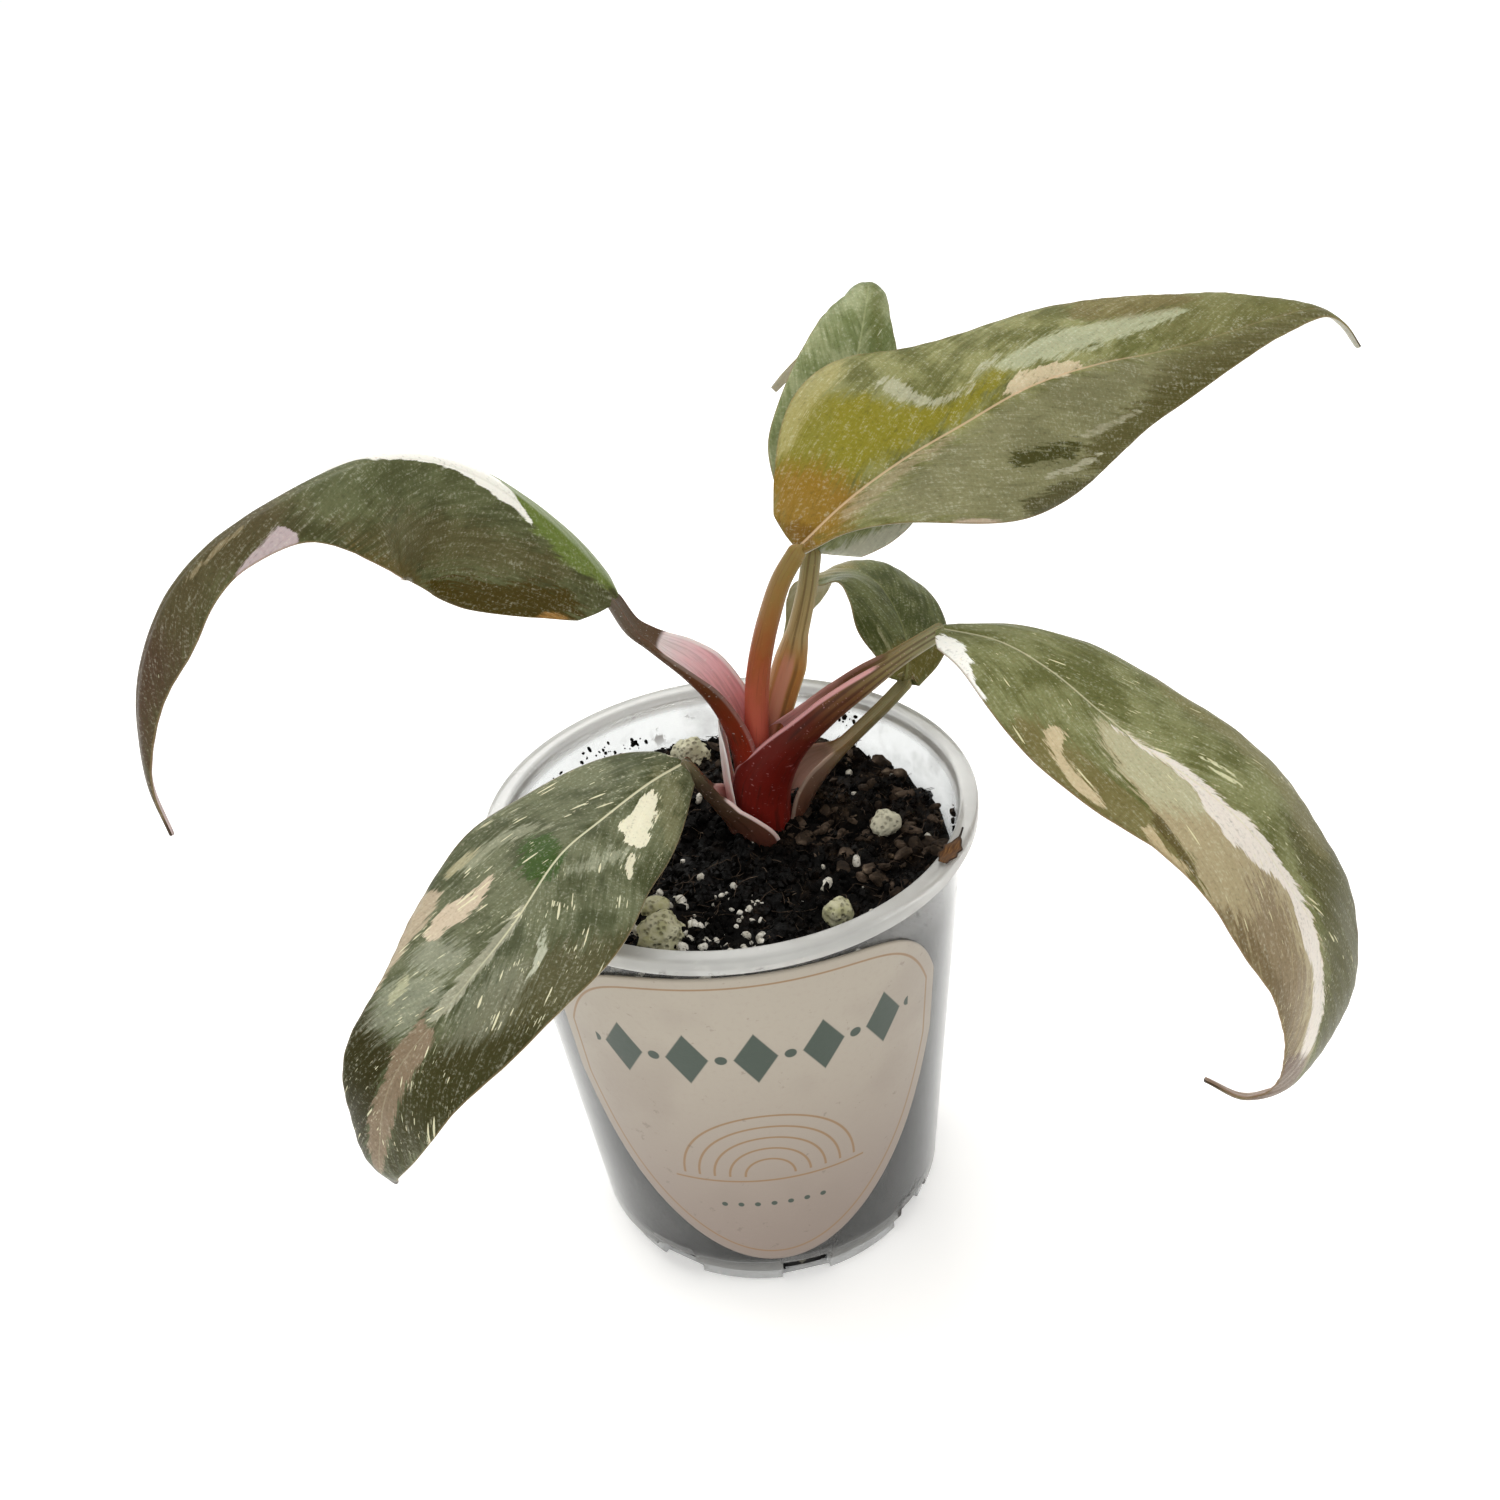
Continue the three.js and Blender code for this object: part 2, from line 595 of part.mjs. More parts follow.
// Sticker: a rounded shield, narrower below, bent round the wall
function labelGeometry() {
  const grid = [];
  const offset = CLEARANCE + LABEL_THICKNESS / 2;
  for (let j = 0; j <= LABEL_ROWS; j += 1) {
    const row = [];
    for (let i = 0; i <= LABEL_COLUMNS; i += 1) {
      const arc = -LABEL_HALF_WIDTH * Math.cos(Math.PI * i / LABEL_COLUMNS);
      const share = Math.abs(arc) / LABEL_HALF_WIDTH;
      const upper = LABEL_TOP - LABEL_SHOULDER * (0.24 * share ** 2 + 0.76 * share ** 6);
      const lower = LABEL_BOTTOM + LABEL_TAPER * (0.77 * share ** 2 + 0.23 * share ** 10);
      const z = THREE.MathUtils.lerp(lower, upper, j / LABEL_ROWS);
      const radius = wallRadius(z) + offset;
      const azimuth = arc / wallRadius(CUP_HEIGHT / 2) - Math.PI / 2;
      row.push(new THREE.Vector3(radius * Math.cos(azimuth), radius * Math.sin(azimuth), z));
    }
    grid.push(row);
  }
  return closedSheet(grid, LABEL_THICKNESS);
}

// Height of the mix: gently uneven, a little higher against the back and round the crown
function soilHeight(x, y) {
  const rough = 0.55 * Math.sin(0.62 * x + 1.3) * Math.cos(0.55 * y) + 0.35 * Math.sin(1.1 * x - 0.9 * y);
  const crown = 0.9 * Math.exp(-((x - CROWN.x) ** 2 + (y - CROWN.y) ** 2) / 60);
  return SOIL_LEVEL + rough + crown + 0.02 * y;
}

// Lump with a few flat faces, flattened and turned at random
function lumpSolid(x, y, z, size, random) {
  const lump = new THREE.IcosahedronGeometry(size, 0);
  lump.scale(0.8 + 0.4 * random(), 0.8 + 0.4 * random(), 0.75);
  lump.rotateZ(Math.PI * random());
  lump.rotateX(0.6 * random());
  lump.translate(x, y, z);
  return toSolid(lump);
}

// Potting mix with its lumps and perlite grown into it, and room for the plant
function soilGeometry(room) {
  const inside = (z) => wallRadius(z) - WALL_THICKNESS - CLEARANCE;
  const floor = FLOOR_THICKNESS + CLEARANCE;
  const footRadius = FOOT_RADIUS - WALL_THICKNESS - CLEARANCE;
  const ledge = LEDGE_HEIGHT + CLEARANCE;
  const edge = inside(SOIL_LEVEL - SOIL_EDGE_DROP);
  const profile = [
    [0, floor], [footRadius, floor], [footRadius, ledge], [inside(ledge), ledge],
    [inside(WALL_MIDDLE), WALL_MIDDLE], [edge, SOIL_LEVEL - SOIL_EDGE_DROP],
  ];
  for (let k = SOIL_RINGS; k >= 0; k -= 1) {
    profile.push([(edge - 0.1) * k / SOIL_RINGS, SOIL_LEVEL]);
  }
  const body = new THREE.LatheGeometry(profile.map(([r, z]) => new THREE.Vector2(r, z)), SOIL_SIDES);
  body.rotateX(Math.PI / 2);
  const spot = body.attributes.position;
  for (let k = 0; k < spot.count; k += 1) {
    if (spot.getZ(k) > SOIL_LEVEL - 0.01) {
      spot.setZ(k, soilHeight(spot.getX(k), spot.getY(k)));
    }
  }
  let mix = toSolid(body);
  const random = makeRandom(SEED);
  for (let k = 0; k < LUMP_COUNT + PERLITE_COUNT; k += 1) {
    const azimuth = 2 * Math.PI * random();
    const distance = LUMP_NEAREST + LUMP_SPREAD * Math.sqrt(random());
    const x = distance * Math.cos(azimuth);
    const y = distance * Math.sin(azimuth);
    const size = k < LUMP_COUNT ? 1.6 + 0.9 * random() : 0.9 + 0.7 * random();
    mix = mix.add(lumpSolid(x, y, soilHeight(x, y), size, random));
  }
  for (const [x, y, size] of PUMICE) {
    mix = mix.add(lumpSolid(x, y, soilHeight(x, y) + 0.1 * size, size, random));
  }
  return toGeometry(room.reduce((solid, cutter) => solid.subtract(cutter), mix));
}

// Curled flake of dried sheath, bent down over the rim
function flakeGeometry() {
  const grid = [];
  const outwards = new THREE.Vector3(Math.cos(FLAKE_AZIMUTH), Math.sin(FLAKE_AZIMUTH), 0);
  const sideways = new THREE.Vector3(-Math.sin(FLAKE_AZIMUTH), Math.cos(FLAKE_AZIMUTH), 0);
  const rest = CUP_HEIGHT + CLEARANCE + FLAKE_THICKNESS / 2;
  for (let j = 0; j <= FLAKE_STEPS; j += 1) {
    const share = 2 * j / FLAKE_STEPS - 1;
    const along = FLAKE_LENGTH / 2 * share;
    const half = FLAKE_WIDTH / 2 * Math.sqrt(Math.max(0.05, 1 - share ** 2));
    const row = [];
    for (const reach of [-half, -half / 2, 0, half / 2, half]) {
      const height = rest + FLAKE_CURL_ALONG * along ** 2 + FLAKE_CURL_ACROSS * reach ** 2;
      const radius = RIM_RADIUS - WALL_THICKNESS - reach;
      const point = new THREE.Vector3(0, 0, height).addScaledVector(outwards, radius);
      row.push(point.addScaledVector(sideways, -along));
    }
    grid.push(row);
  }
  return closedSheet(grid, FLAKE_THICKNESS);
}

const plant = new THREE.Group();

// Named mesh with its own surface
function addMesh(name, geometry, colour, roughness, opacity = 1) {
  const material = new THREE.MeshStandardMaterial({
    color: colour,
    roughness,
    metalness: 0,
    opacity,
    transparent: opacity < 1,
  });
  geometry.computeVertexNormals();
  const mesh = new THREE.Mesh(geometry, material);
  mesh.name = name;
  plant.add(mesh);
}

addMesh('pot', cupGeometry(), '#c9cdd2', 0.35, 0.6);
addMesh('label', labelGeometry(), '#d9cabc', 0.5);

// Each stalk gives way to those named before it, with the clearance between them
const taken = [];
for (const [name, stalk] of Object.entries(STALKS)) {
  const solid = taken.reduce((left, room) => left.subtract(room), toSolid(stalkGeometry(stalk)));
  addMesh(`stalk_${name}`, toGeometry(solid), stalk.colour, 0.45);
  stalk.room = toSolid(stalkGeometry(stalk, CLEARANCE));
  taken.push(stalk.room);
}

for (const [name, leaf] of Object.entries(LEAVES)) {
  const blade = toSolid(closedSheet(bladeGrid(leaf, BLADE_STEPS), BLADE_THICKNESS));
  addMesh(`leaf_${name}`, toGeometry(blade.subtract(STALKS[name].room)), leaf.colour, 0.35);
}

addMesh('rootstock', toGeometry(rootstockSolid(0)), '#8f6b4c', 0.8);
addMesh('soil', soilGeometry([rootstockSolid(CLEARANCE), ...taken]), '#2b221c', 0.95);
addMesh('dried_flake', flakeGeometry(), '#7d4a26', 0.7);

export default plant;
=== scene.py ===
# A young variegated philodendron in a clear nursery cup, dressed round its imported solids.
# Metres, +Z up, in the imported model's own frame. The front faces -Y.

import math

import bmesh
import bpy
import numpy as np
from mathutils import Matrix, Vector, noise


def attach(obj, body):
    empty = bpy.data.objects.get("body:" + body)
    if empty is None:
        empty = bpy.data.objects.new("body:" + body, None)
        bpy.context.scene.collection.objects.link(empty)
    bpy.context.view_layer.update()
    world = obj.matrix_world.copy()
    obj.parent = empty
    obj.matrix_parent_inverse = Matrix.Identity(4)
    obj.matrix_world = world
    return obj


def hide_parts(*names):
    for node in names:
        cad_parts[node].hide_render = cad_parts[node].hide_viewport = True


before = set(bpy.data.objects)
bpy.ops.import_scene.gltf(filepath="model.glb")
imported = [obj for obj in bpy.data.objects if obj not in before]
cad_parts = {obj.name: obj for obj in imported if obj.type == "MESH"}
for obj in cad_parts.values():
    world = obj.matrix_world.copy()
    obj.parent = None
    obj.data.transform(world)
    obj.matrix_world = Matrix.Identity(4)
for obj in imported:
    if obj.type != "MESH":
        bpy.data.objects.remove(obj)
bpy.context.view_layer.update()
scene = bpy.context.scene
MM = 0.001


# Studio. A pale floor fills the view. Broad soft lights hang above the plant and behind it, and the
# camera looks down at it from the photograph's side, leaning a little to one side.
FLOOR_HALF_SIZE = 6.0
CAMERA_TARGET = Vector((3.4, 0, 69.4)) * MM
CAMERA_DISTANCE = 221 * MM
CAMERA_ELEVATION = math.radians(32.6)
CAMERA_ROLL = math.radians(-6.5)
CAMERA_LENS = 43.2


def aim(position, target):
    """World matrix of a lamp that stands at position and shines at target."""
    turn = (Vector(target) - Vector(position)).to_track_quat("-Z", "Y")
    return Matrix.Translation(position) @ turn.to_matrix().to_4x4()


def softbox(name, position, target, width, height, power, tint):
    lamp = bpy.data.lights.new(name, "AREA")
    lamp.shape = "RECTANGLE"
    lamp.size = width
    lamp.size_y = height
    lamp.energy = power
    lamp.color = tint
    holder = bpy.data.objects.new(name, lamp)
    scene.collection.objects.link(holder)
    holder.matrix_world = aim(position, target)


camera = bpy.data.objects.new("camera", bpy.data.cameras.new("camera"))
scene.collection.objects.link(camera)
towards_camera = Vector((0, -math.cos(CAMERA_ELEVATION), math.sin(CAMERA_ELEVATION)))
level_right = Vector((1, 0, 0))
level_up = towards_camera.cross(level_right)
view_right = math.cos(CAMERA_ROLL) * level_right + math.sin(CAMERA_ROLL) * level_up
view_up = towards_camera.cross(view_right)
camera.matrix_world = Matrix.Translation(CAMERA_TARGET + CAMERA_DISTANCE * towards_camera) @ Matrix(
    (view_right, view_up, towards_camera)).transposed().to_4x4()
camera.data.lens = CAMERA_LENS
camera.data.clip_start = 0.01
scene.camera = camera

scene.view_settings.view_transform = "Standard"
scene.world = bpy.data.worlds.new("daylight")
scene.world.use_nodes = True
sky = scene.world.node_tree.nodes["Background"].inputs
sky["Color"].default_value = (1, 0.99, 0.96, 1)
sky["Strength"].default_value = 0.62
softbox("window", (-0.25, 0.55, 0.75), (0, 0, 0.06), 0.9, 0.6, 5.0, (1, 0.99, 0.97))
softbox("ceiling", (0.3, -0.1, 1.0), (0, 0, 0.05), 0.9, 0.9, 4.0, (1, 1, 1))
softbox("front_fill", (-0.35, -0.85, 0.4), (0, 0, 0.05), 0.9, 0.6, 1.6, (1, 0.98, 0.95))


class Value:
    """A socket of a finish, used in plain arithmetic: each operation adds its Math node."""

    def __init__(self, finish, socket):
        self.finish = finish
        self.socket = socket

    def maths(self, operation, *others):
        sockets = dict(enumerate((self, *others)))
        return self.finish.node("ShaderNodeMath", {"operation": operation}, sockets)

    def __add__(self, other):
        return self.maths("ADD", other)

    def __sub__(self, other):
        return self.maths("SUBTRACT", other)

    def __rsub__(self, other):
        return (self * -1) + other

    def __mul__(self, other):
        return self.maths("MULTIPLY", other)

    def __truediv__(self, other):
        return self.maths("DIVIDE", other)

    def __rtruediv__(self, other):
        return self.maths("POWER", -1) * other

    def __pow__(self, other):
        return self.maths("POWER", other)

    def __neg__(self):
        return self * -1

    __radd__ = __add__
    __rmul__ = __mul__

    def most(self, other):
        return self.maths("MAXIMUM", other)

    def size(self):
        return self.maths("ABSOLUTE")

    def rise(self, start, end, low=0.0, high=1.0):
        """A smooth step from low at start to high at end."""
        settings = {"interpolation_type": "SMOOTHSTEP"}
        sockets = {"Value": self, "From Min": start, "From Max": end, "To Min": low, "To Max": high}
        return self.finish.node("ShaderNodeMapRange", settings, sockets)


def tint(text):
    """Linear colour from a six-digit colour as it is seen on screen."""
    parts = [int(text[k:k + 2], 16) / 255 for k in (1, 3, 5)]
    return tuple(c / 12.92 if c <= 0.04045 else ((c + 0.055) / 1.055) ** 2.4 for c in parts) + (1.0,)


class Finish:
    """One surface finish: a material whose nodes are added one by one before its shader."""

    def __init__(self, name):
        self.material = bpy.data.materials.new(name)
        self.material.use_nodes = True
        self.tree = self.material.node_tree
        self.tree.nodes.clear()

    def node(self, kind, settings=None, sockets=None, out=0):
        """Adds a node: its settings first, with a ramp's stops, then its sockets' values or links."""
        made = self.tree.nodes.new(kind)
        for key, value in (settings or {}).items():
            if key == "stops":
                ramp = made.color_ramp
                while len(ramp.elements) < len(value):
                    ramp.elements.new(1.0)
                for element, (place, colour) in zip(ramp.elements, value):
                    element.position = place
                    element.color = colour
            else:
                setattr(made, key, value)
        for key, value in (sockets or {}).items():
            socket = made.inputs[key]
            if isinstance(value, Value):
                self.tree.links.new(value.socket, socket)
            else:
                socket.default_value = value
        return Value(self, made.outputs[out]) if made.outputs else None

    def place(self):
        """Object coordinates, in metres."""
        return self.node("ShaderNodeTexCoord", out="Object")

    def attribute(self, name):
        return self.node("ShaderNodeAttribute", {"attribute_name": name}, out="Fac")

    def vector(self, x, y, z=0.0):
        return self.node("ShaderNodeCombineXYZ", None, {"X": x, "Y": y, "Z": z})

    def axis(self, vector, name):
        return self.node("ShaderNodeSeparateXYZ", None, {"Vector": vector}, out=name)

    def grain(self, vector, scale, detail=2.0, roughness=0.5):
        """Cloudy noise from 0 to 1."""
        sockets = {"Vector": vector, "Scale": scale, "Detail": detail, "Roughness": roughness}
        return self.node("ShaderNodeTexNoise", None, sockets)

    def cells(self, vector, scale, out="Distance"):
        """Distance to the nearest of many random spots, in spacings, or that spot's random colour."""
        return self.node("ShaderNodeTexVoronoi", None, {"Vector": vector, "Scale": scale}, out)

    def strokes(self, vector, scale, share, size, waver):
        """Short strokes at random spots: share is how many spots have one, size is in spacings."""
        spot = self.cells(vector, scale, "Color")
        luck = self.node("ShaderNodeSeparateColor", None, {"Color": spot}, out="Red")
        reach = (luck - 1 + share) * size - self.cells(vector, scale)
        return (reach + (waver - 0.5) * 0.3).rise(0, 0.05)

    def mix(self, share, first, second):
        """Colour from first to second by share."""
        sockets = {"Factor": share, 6: first, 7: second}
        return self.node("ShaderNodeMix", {"data_type": "RGBA"}, sockets, out=2)

    def ramp(self, share, stops):
        """Colour along a ramp of places and six-digit colours."""
        settings = {"stops": [(place, tint(colour)) for place, colour in stops]}
        return self.node("ShaderNodeValToRGB", settings, {"Fac": share})

    def bump(self, height, distance, strength):
        sockets = {"Height": height, "Distance": distance, "Strength": strength}
        return self.node("ShaderNodeBump", None, sockets)

    def blend(self, share, first, second):
        """Ends the finish with two shaders, the second one by share."""
        mixed = self.node("ShaderNodeMixShader", None, {0: share, 1: first, 2: second})
        self.node("ShaderNodeOutputMaterial", None, {"Surface": mixed})
        return self.material

    def shade(self, **values):
        """Ends the finish with a Principled shader; socket names are written with underscores."""
        sockets = {key.replace("_", " "): value for key, value in values.items()}
        shader = self.node("ShaderNodeBsdfPrincipled", None, sockets)
        self.node("ShaderNodeOutputMaterial", None, {"Surface": shader})
        return self.material


def add_object(name, points, faces, material=None, facts=None):
    """Smooth mesh object in metres; a fact is one number for each point, which its finish reads."""
    mesh = bpy.data.meshes.new(name)
    mesh.from_pydata([tuple(p) for p in points], [], [tuple(f) for f in faces])
    mesh.shade_smooth()
    if material:
        mesh.materials.append(material)
    for fact, values in (facts or {}).items():
        layer = mesh.attributes.new(fact, "FLOAT", "POINT")
        layer.data.foreach_set("value", np.asarray(values, np.float32).ravel())
    made = bpy.data.objects.new(name, mesh)
    scene.collection.objects.link(made)
    return made


def paper_floor():
    finish = Finish("paper_floor")
    tone = finish.mix(finish.grain(finish.place(), 9.0, 3.0), tint("#f7f7f6"), tint("#fbfbfa"))
    return finish.shade(Base_Color=tone, Roughness=0.9, Emission_Color=(1, 1, 1, 1), Emission_Strength=0.34)


corner_signs = [(-1, -1), (1, -1), (1, 1), (-1, 1)]
floor_corners = [(x * FLOOR_HALF_SIZE, y * FLOOR_HALF_SIZE, 0) for x, y in corner_signs]
floor = add_object("floor", floor_corners, [(0, 1, 2, 3)], paper_floor())


# Nursery cup. Thin clear plastic, drawn down over a mould: a tapered wall with a flat rim band, a
# stepped foot with a flat floor, and drain slots moulded through the corner of the foot.
RIM_RADIUS = 31 * MM
CUP_HEIGHT = 62 * MM
RIM_BAND = 2.2 * MM
WALL_TOP_RADIUS = 29.2 * MM
WALL_FOOT_RADIUS = 23.4 * MM
WALL_THICKNESS = 0.9 * MM
FOOT_RADIUS = 22.2 * MM
FOOT_HEIGHT = 3 * MM
FLOOR_THICKNESS = 1 * MM
LEDGE_RISE = 1 * MM
WALL_HEIGHTS = [6 * MM, 12 * MM, 24 * MM, 40 * MM]
CUP_SIDES = 192
FILLET_STEPS = 4
DRAIN_COUNT = 8
DRAIN_WIDTH = 6.5 * MM
DRAIN_DEPTH = 4 * MM
DRAIN_HEIGHT = 4.5 * MM
DRAIN_INSET = 1.1 * MM
DRAIN_OVERLAP = 1 * MM
DRAIN_FIRST = math.radians(-82)


def wall_radius(z):
    """Radius of the cup's outer wall at a height."""
    share = (z - FOOT_HEIGHT) / (CUP_HEIGHT - RIM_BAND - FOOT_HEIGHT)
    return WALL_FOOT_RADIUS + (WALL_TOP_RADIUS - WALL_FOOT_RADIUS) * share


def turned(profile, sides):
    """Points and faces of a body turned from (radius, height) pairs that start and end on the axis."""
    ring = profile[1:-1]
    points = [(0, 0, profile[0][1]), (0, 0, profile[-1][1])]
    for k in range(sides):
        azimuth = 2 * math.pi * k / sides
        points += [(r * math.cos(azimuth), r * math.sin(azimuth), z) for r, z in ring]
    faces = []
    count = len(ring)
    for k in range(sides):
        here = 2 + k * count
        there = 2 + (k + 1) % sides * count
        faces.append((0, there, here))
        faces += [(here + i, there + i, there + i + 1, here + i + 1) for i in range(count - 1)]
        faces.append((1, here + count - 1, there + count - 1))
    return points, faces


def rounded(corner, before, after, radius):
    """Points of a fillet at a corner of a profile."""
    corner, before, after = Vector(corner), Vector(before), Vector(after)
    start = corner + (before - corner).normalized() * radius
    end = corner + (after - corner).normalized() * radius
    shares = [k / FILLET_STEPS for k in range(FILLET_STEPS + 1)]
    return [tuple((1 - s) ** 2 * start + 2 * s * (1 - s) * corner + s * s * end) for s in shares]


def cup_profile():
    """Section of the cup from the middle of its underside, over the rim, to the middle of its floor."""
    band = CUP_HEIGHT - RIM_BAND
    inner_top = wall_radius(band) - WALL_THICKNESS
    ledge = FOOT_HEIGHT + LEDGE_RISE
    inner_foot = FOOT_RADIUS - WALL_THICKNESS
    outer_foot = (WALL_FOOT_RADIUS, FOOT_HEIGHT)
    corners = [
        ((0, 0), 0), ((FOOT_RADIUS, 0), 0.5), ((FOOT_RADIUS, FOOT_HEIGHT), 0.3), (outer_foot, 0.5),
        ((wall_radius(band), band), 0.2), ((RIM_RADIUS, band), 0.5), ((RIM_RADIUS, CUP_HEIGHT), 0.6),
        ((inner_top + 0.5 * MM, CUP_HEIGHT), 0.4), ((inner_top, band), 0.6),
        ((wall_radius(ledge) - WALL_THICKNESS, ledge), 0.4), ((inner_foot, ledge - 0.1 * MM), 0.3),
        ((inner_foot, FLOOR_THICKNESS), 0.5), ((0, FLOOR_THICKNESS), 0),
    ]
    profile = []
    for k, (corner, radius) in enumerate(corners):
        if radius:
            profile += rounded(corner, corners[k - 1][0], corners[k + 1][0], radius * MM)
        else:
            profile.append(corner)
        if corner == outer_foot:
            profile += [(wall_radius(z), z) for z in WALL_HEIGHTS]
        if corner == (inner_top, band):
            profile += [(wall_radius(z) - WALL_THICKNESS, z) for z in reversed(WALL_HEIGHTS)]
    return profile


def drain_cutter():
    """The drain slots as one loose mesh of boxes round the foot."""
    points = []
    faces = []
    inner = FOOT_RADIUS - DRAIN_INSET
    for k in range(DRAIN_COUNT):
        azimuth = DRAIN_FIRST + 2 * math.pi * k / DRAIN_COUNT
        turn = Matrix.Rotation(azimuth, 3, "Z")
        base = len(points)
        for x in (inner, inner + DRAIN_DEPTH):
            for y in (-DRAIN_WIDTH / 2, DRAIN_WIDTH / 2):
                for z in (-DRAIN_OVERLAP, DRAIN_HEIGHT):
                    points.append(turn @ Vector((x, y, z)))
        sides = [(0, 1, 3, 2), (4, 6, 7, 5), (0, 4, 5, 1), (2, 3, 7, 6), (0, 2, 6, 4), (1, 5, 7, 3)]
        faces += [tuple(base + i for i in side) for side in sides]
    return points, faces


def clear_plastic():
    """Clear plastic, milky at the rim and the foot, with scuffs, smears and spots of dirt."""
    finish = Finish("clear_plastic")
    place = finish.place()
    haze = finish.grain(place, 60, 4, 0.6)
    scuffs = finish.grain(place, 420, 3, 0.7).rise(0.6, 0.72)
    height = finish.axis(place, "Z")
    above_mix = height.rise(54 * MM, 55.5 * MM) * (1 - height.rise(59.5 * MM, 61 * MM))
    at_foot = 1 - height.rise(5 * MM, 9 * MM)
    cluster = finish.grain(place, 70, 2).rise(0.46, 0.6)
    dirt = finish.grain(place, 260, 4, 0.7).rise(0.61, 0.66) * cluster * above_mix.most(at_foot)
    smear = finish.grain(place, 110, 4, 0.6).rise(0.52, 0.68) * above_mix.most(at_foot) * 0.35
    upper_clear = finish.mix(haze, tint("#d3d6d7"), tint("#e6e8e9"))
    clear = finish.mix(height.rise(50 * MM, 56 * MM), tint("#8b8d8e"), upper_clear)
    clear = finish.mix(dirt.most(smear) * 0.85, clear, tint("#3a2e22"))
    bump = finish.bump(haze, 0.25 * MM, 0.25)
    shell = finish.node("ShaderNodeBsdfPrincipled", None, {
        "Base Color": clear, "Roughness": haze * 0.12 + 0.04 + scuffs * 0.1 + dirt * 0.4, "IOR": 1.3,
        "Transmission Weight": 0.97, "Specular IOR Level": 0.4, "Normal": bump})
    milk = finish.mix(haze, tint("#cacac6"), tint("#e8e8e4"))
    milk = finish.mix(dirt.most(smear), milk, tint("#3f3326"))
    film = finish.node("ShaderNodeBsdfPrincipled", None, {
        "Base Color": milk, "Roughness": haze * 0.2 + 0.25, "Specular IOR Level": 0.5, "Normal": bump})
    band = height.rise(59.2 * MM, 60.2 * MM) * 0.46
    foot = (1 - height.rise(3.5 * MM, 6 * MM)) * 0.2
    veil = (haze.rise(0.3, 0.7, 0.04, 0.12) + scuffs * 0.08) * height.rise(48 * MM, 56 * MM, 0.45, 1)
    return finish.blend(veil + band.most(foot), shell, film)


def settle(piece):
    """Keeps what a piece's modifiers make as its own plain mesh, and removes them."""
    bpy.context.view_layer.update()
    shown = piece.evaluated_get(bpy.context.evaluated_depsgraph_get())
    mesh = bpy.data.meshes.new_from_object(shown)
    piece.modifiers.clear()
    piece.data = mesh


cup = add_object("nursery_cup", *turned(cup_profile(), CUP_SIDES), clear_plastic())
cutter = add_object("drain_cutter", *drain_cutter())
cut = cup.modifiers.new("drains", "BOOLEAN")
cut.operation = "DIFFERENCE"
cut.solver = "EXACT"
cut.object = cutter
settle(cup)
bpy.data.objects.remove(cutter)
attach(cup, "root")
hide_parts("pot")


# Potting mix. Damp peat and coir, nearly black where it is wet, with bark crumbs, perlite and a few
# lumps of pumice. It fills the cup to just under the rim, uneven, a little higher round the crown.
SOIL_LEVEL = 54.6 * MM
SOIL_GAP = 0.08 * MM
SOIL_SIDES = 240
SOIL_RINGS = 70
SOIL_WALL_RINGS = 46
EDGE_DROP = 1.5 * MM
EDGE_FADE = 2 * MM
OPEN_RADIUS = 26.6
CROWN = Vector((4, 6.6)) * MM
SEED = 20517


def soil_height(x, y):
    """Height of the mix's surface, as its solid has it."""
    a, b = x / MM, y / MM
    rough = 0.55 * math.sin(0.62 * a + 1.3) * math.cos(0.55 * b) + 0.35 * math.sin(1.1 * a - 0.9 * b)
    crown = 0.9 * math.exp(-((x - CROWN.x) ** 2 + (y - CROWN.y) ** 2) / (60 * MM * MM))
    return SOIL_LEVEL + (rough + crown + 0.02 * b) * MM


def crumbly(point, coarse, fine):
    """Offset that breaks a smooth surface into crumbs."""
    spot = Vector(point) / MM
    return (coarse * noise.noise(spot * 0.55) + fine * (1 - 2 * noise.voronoi(spot * 0.9)[0][0])) * MM


def mix_body():
    """The body of the mix: floor, sides against the cup, and a crumbly top."""
    inner_foot = FOOT_RADIUS - WALL_THICKNESS - SOIL_GAP
    ledge = FOOT_HEIGHT + LEDGE_RISE + SOIL_GAP
    floor_height = FLOOR_THICKNESS + SOIL_GAP
    edge_height = SOIL_LEVEL - EDGE_DROP
    profile = [(0, floor_height), (inner_foot, floor_height), (inner_foot, ledge)]
    for z in np.linspace(ledge, edge_height, SOIL_WALL_RINGS):
        edge = wall_radius(z) - WALL_THICKNESS - SOIL_GAP
        profile.append((edge, z))
    profile += [(edge * k / SOIL_RINGS, SOIL_LEVEL) for k in range(SOIL_RINGS - 1, -1, -1)]
    points, faces = turned(profile, SOIL_SIDES)
    shaped = []
    for x, y, z in points:
        radius = math.hypot(x, y)
        if z > edge_height + 0.1 * MM:
            fade = min(1, (edge - radius) / EDGE_FADE)
            z = soil_height(x, y) + fade * crumbly((x, y, 0), 0.9, 0.5) - (1 - fade) * 0.6 * MM
        elif radius > 20 * MM and z > ledge:
            inward = 1 - 0.004 * (1 + noise.noise(Vector((x, y, z)) / MM * 0.35))
            x, y = x * inward, y * inward
        shaped.append((x, y, z))
    return shaped, faces


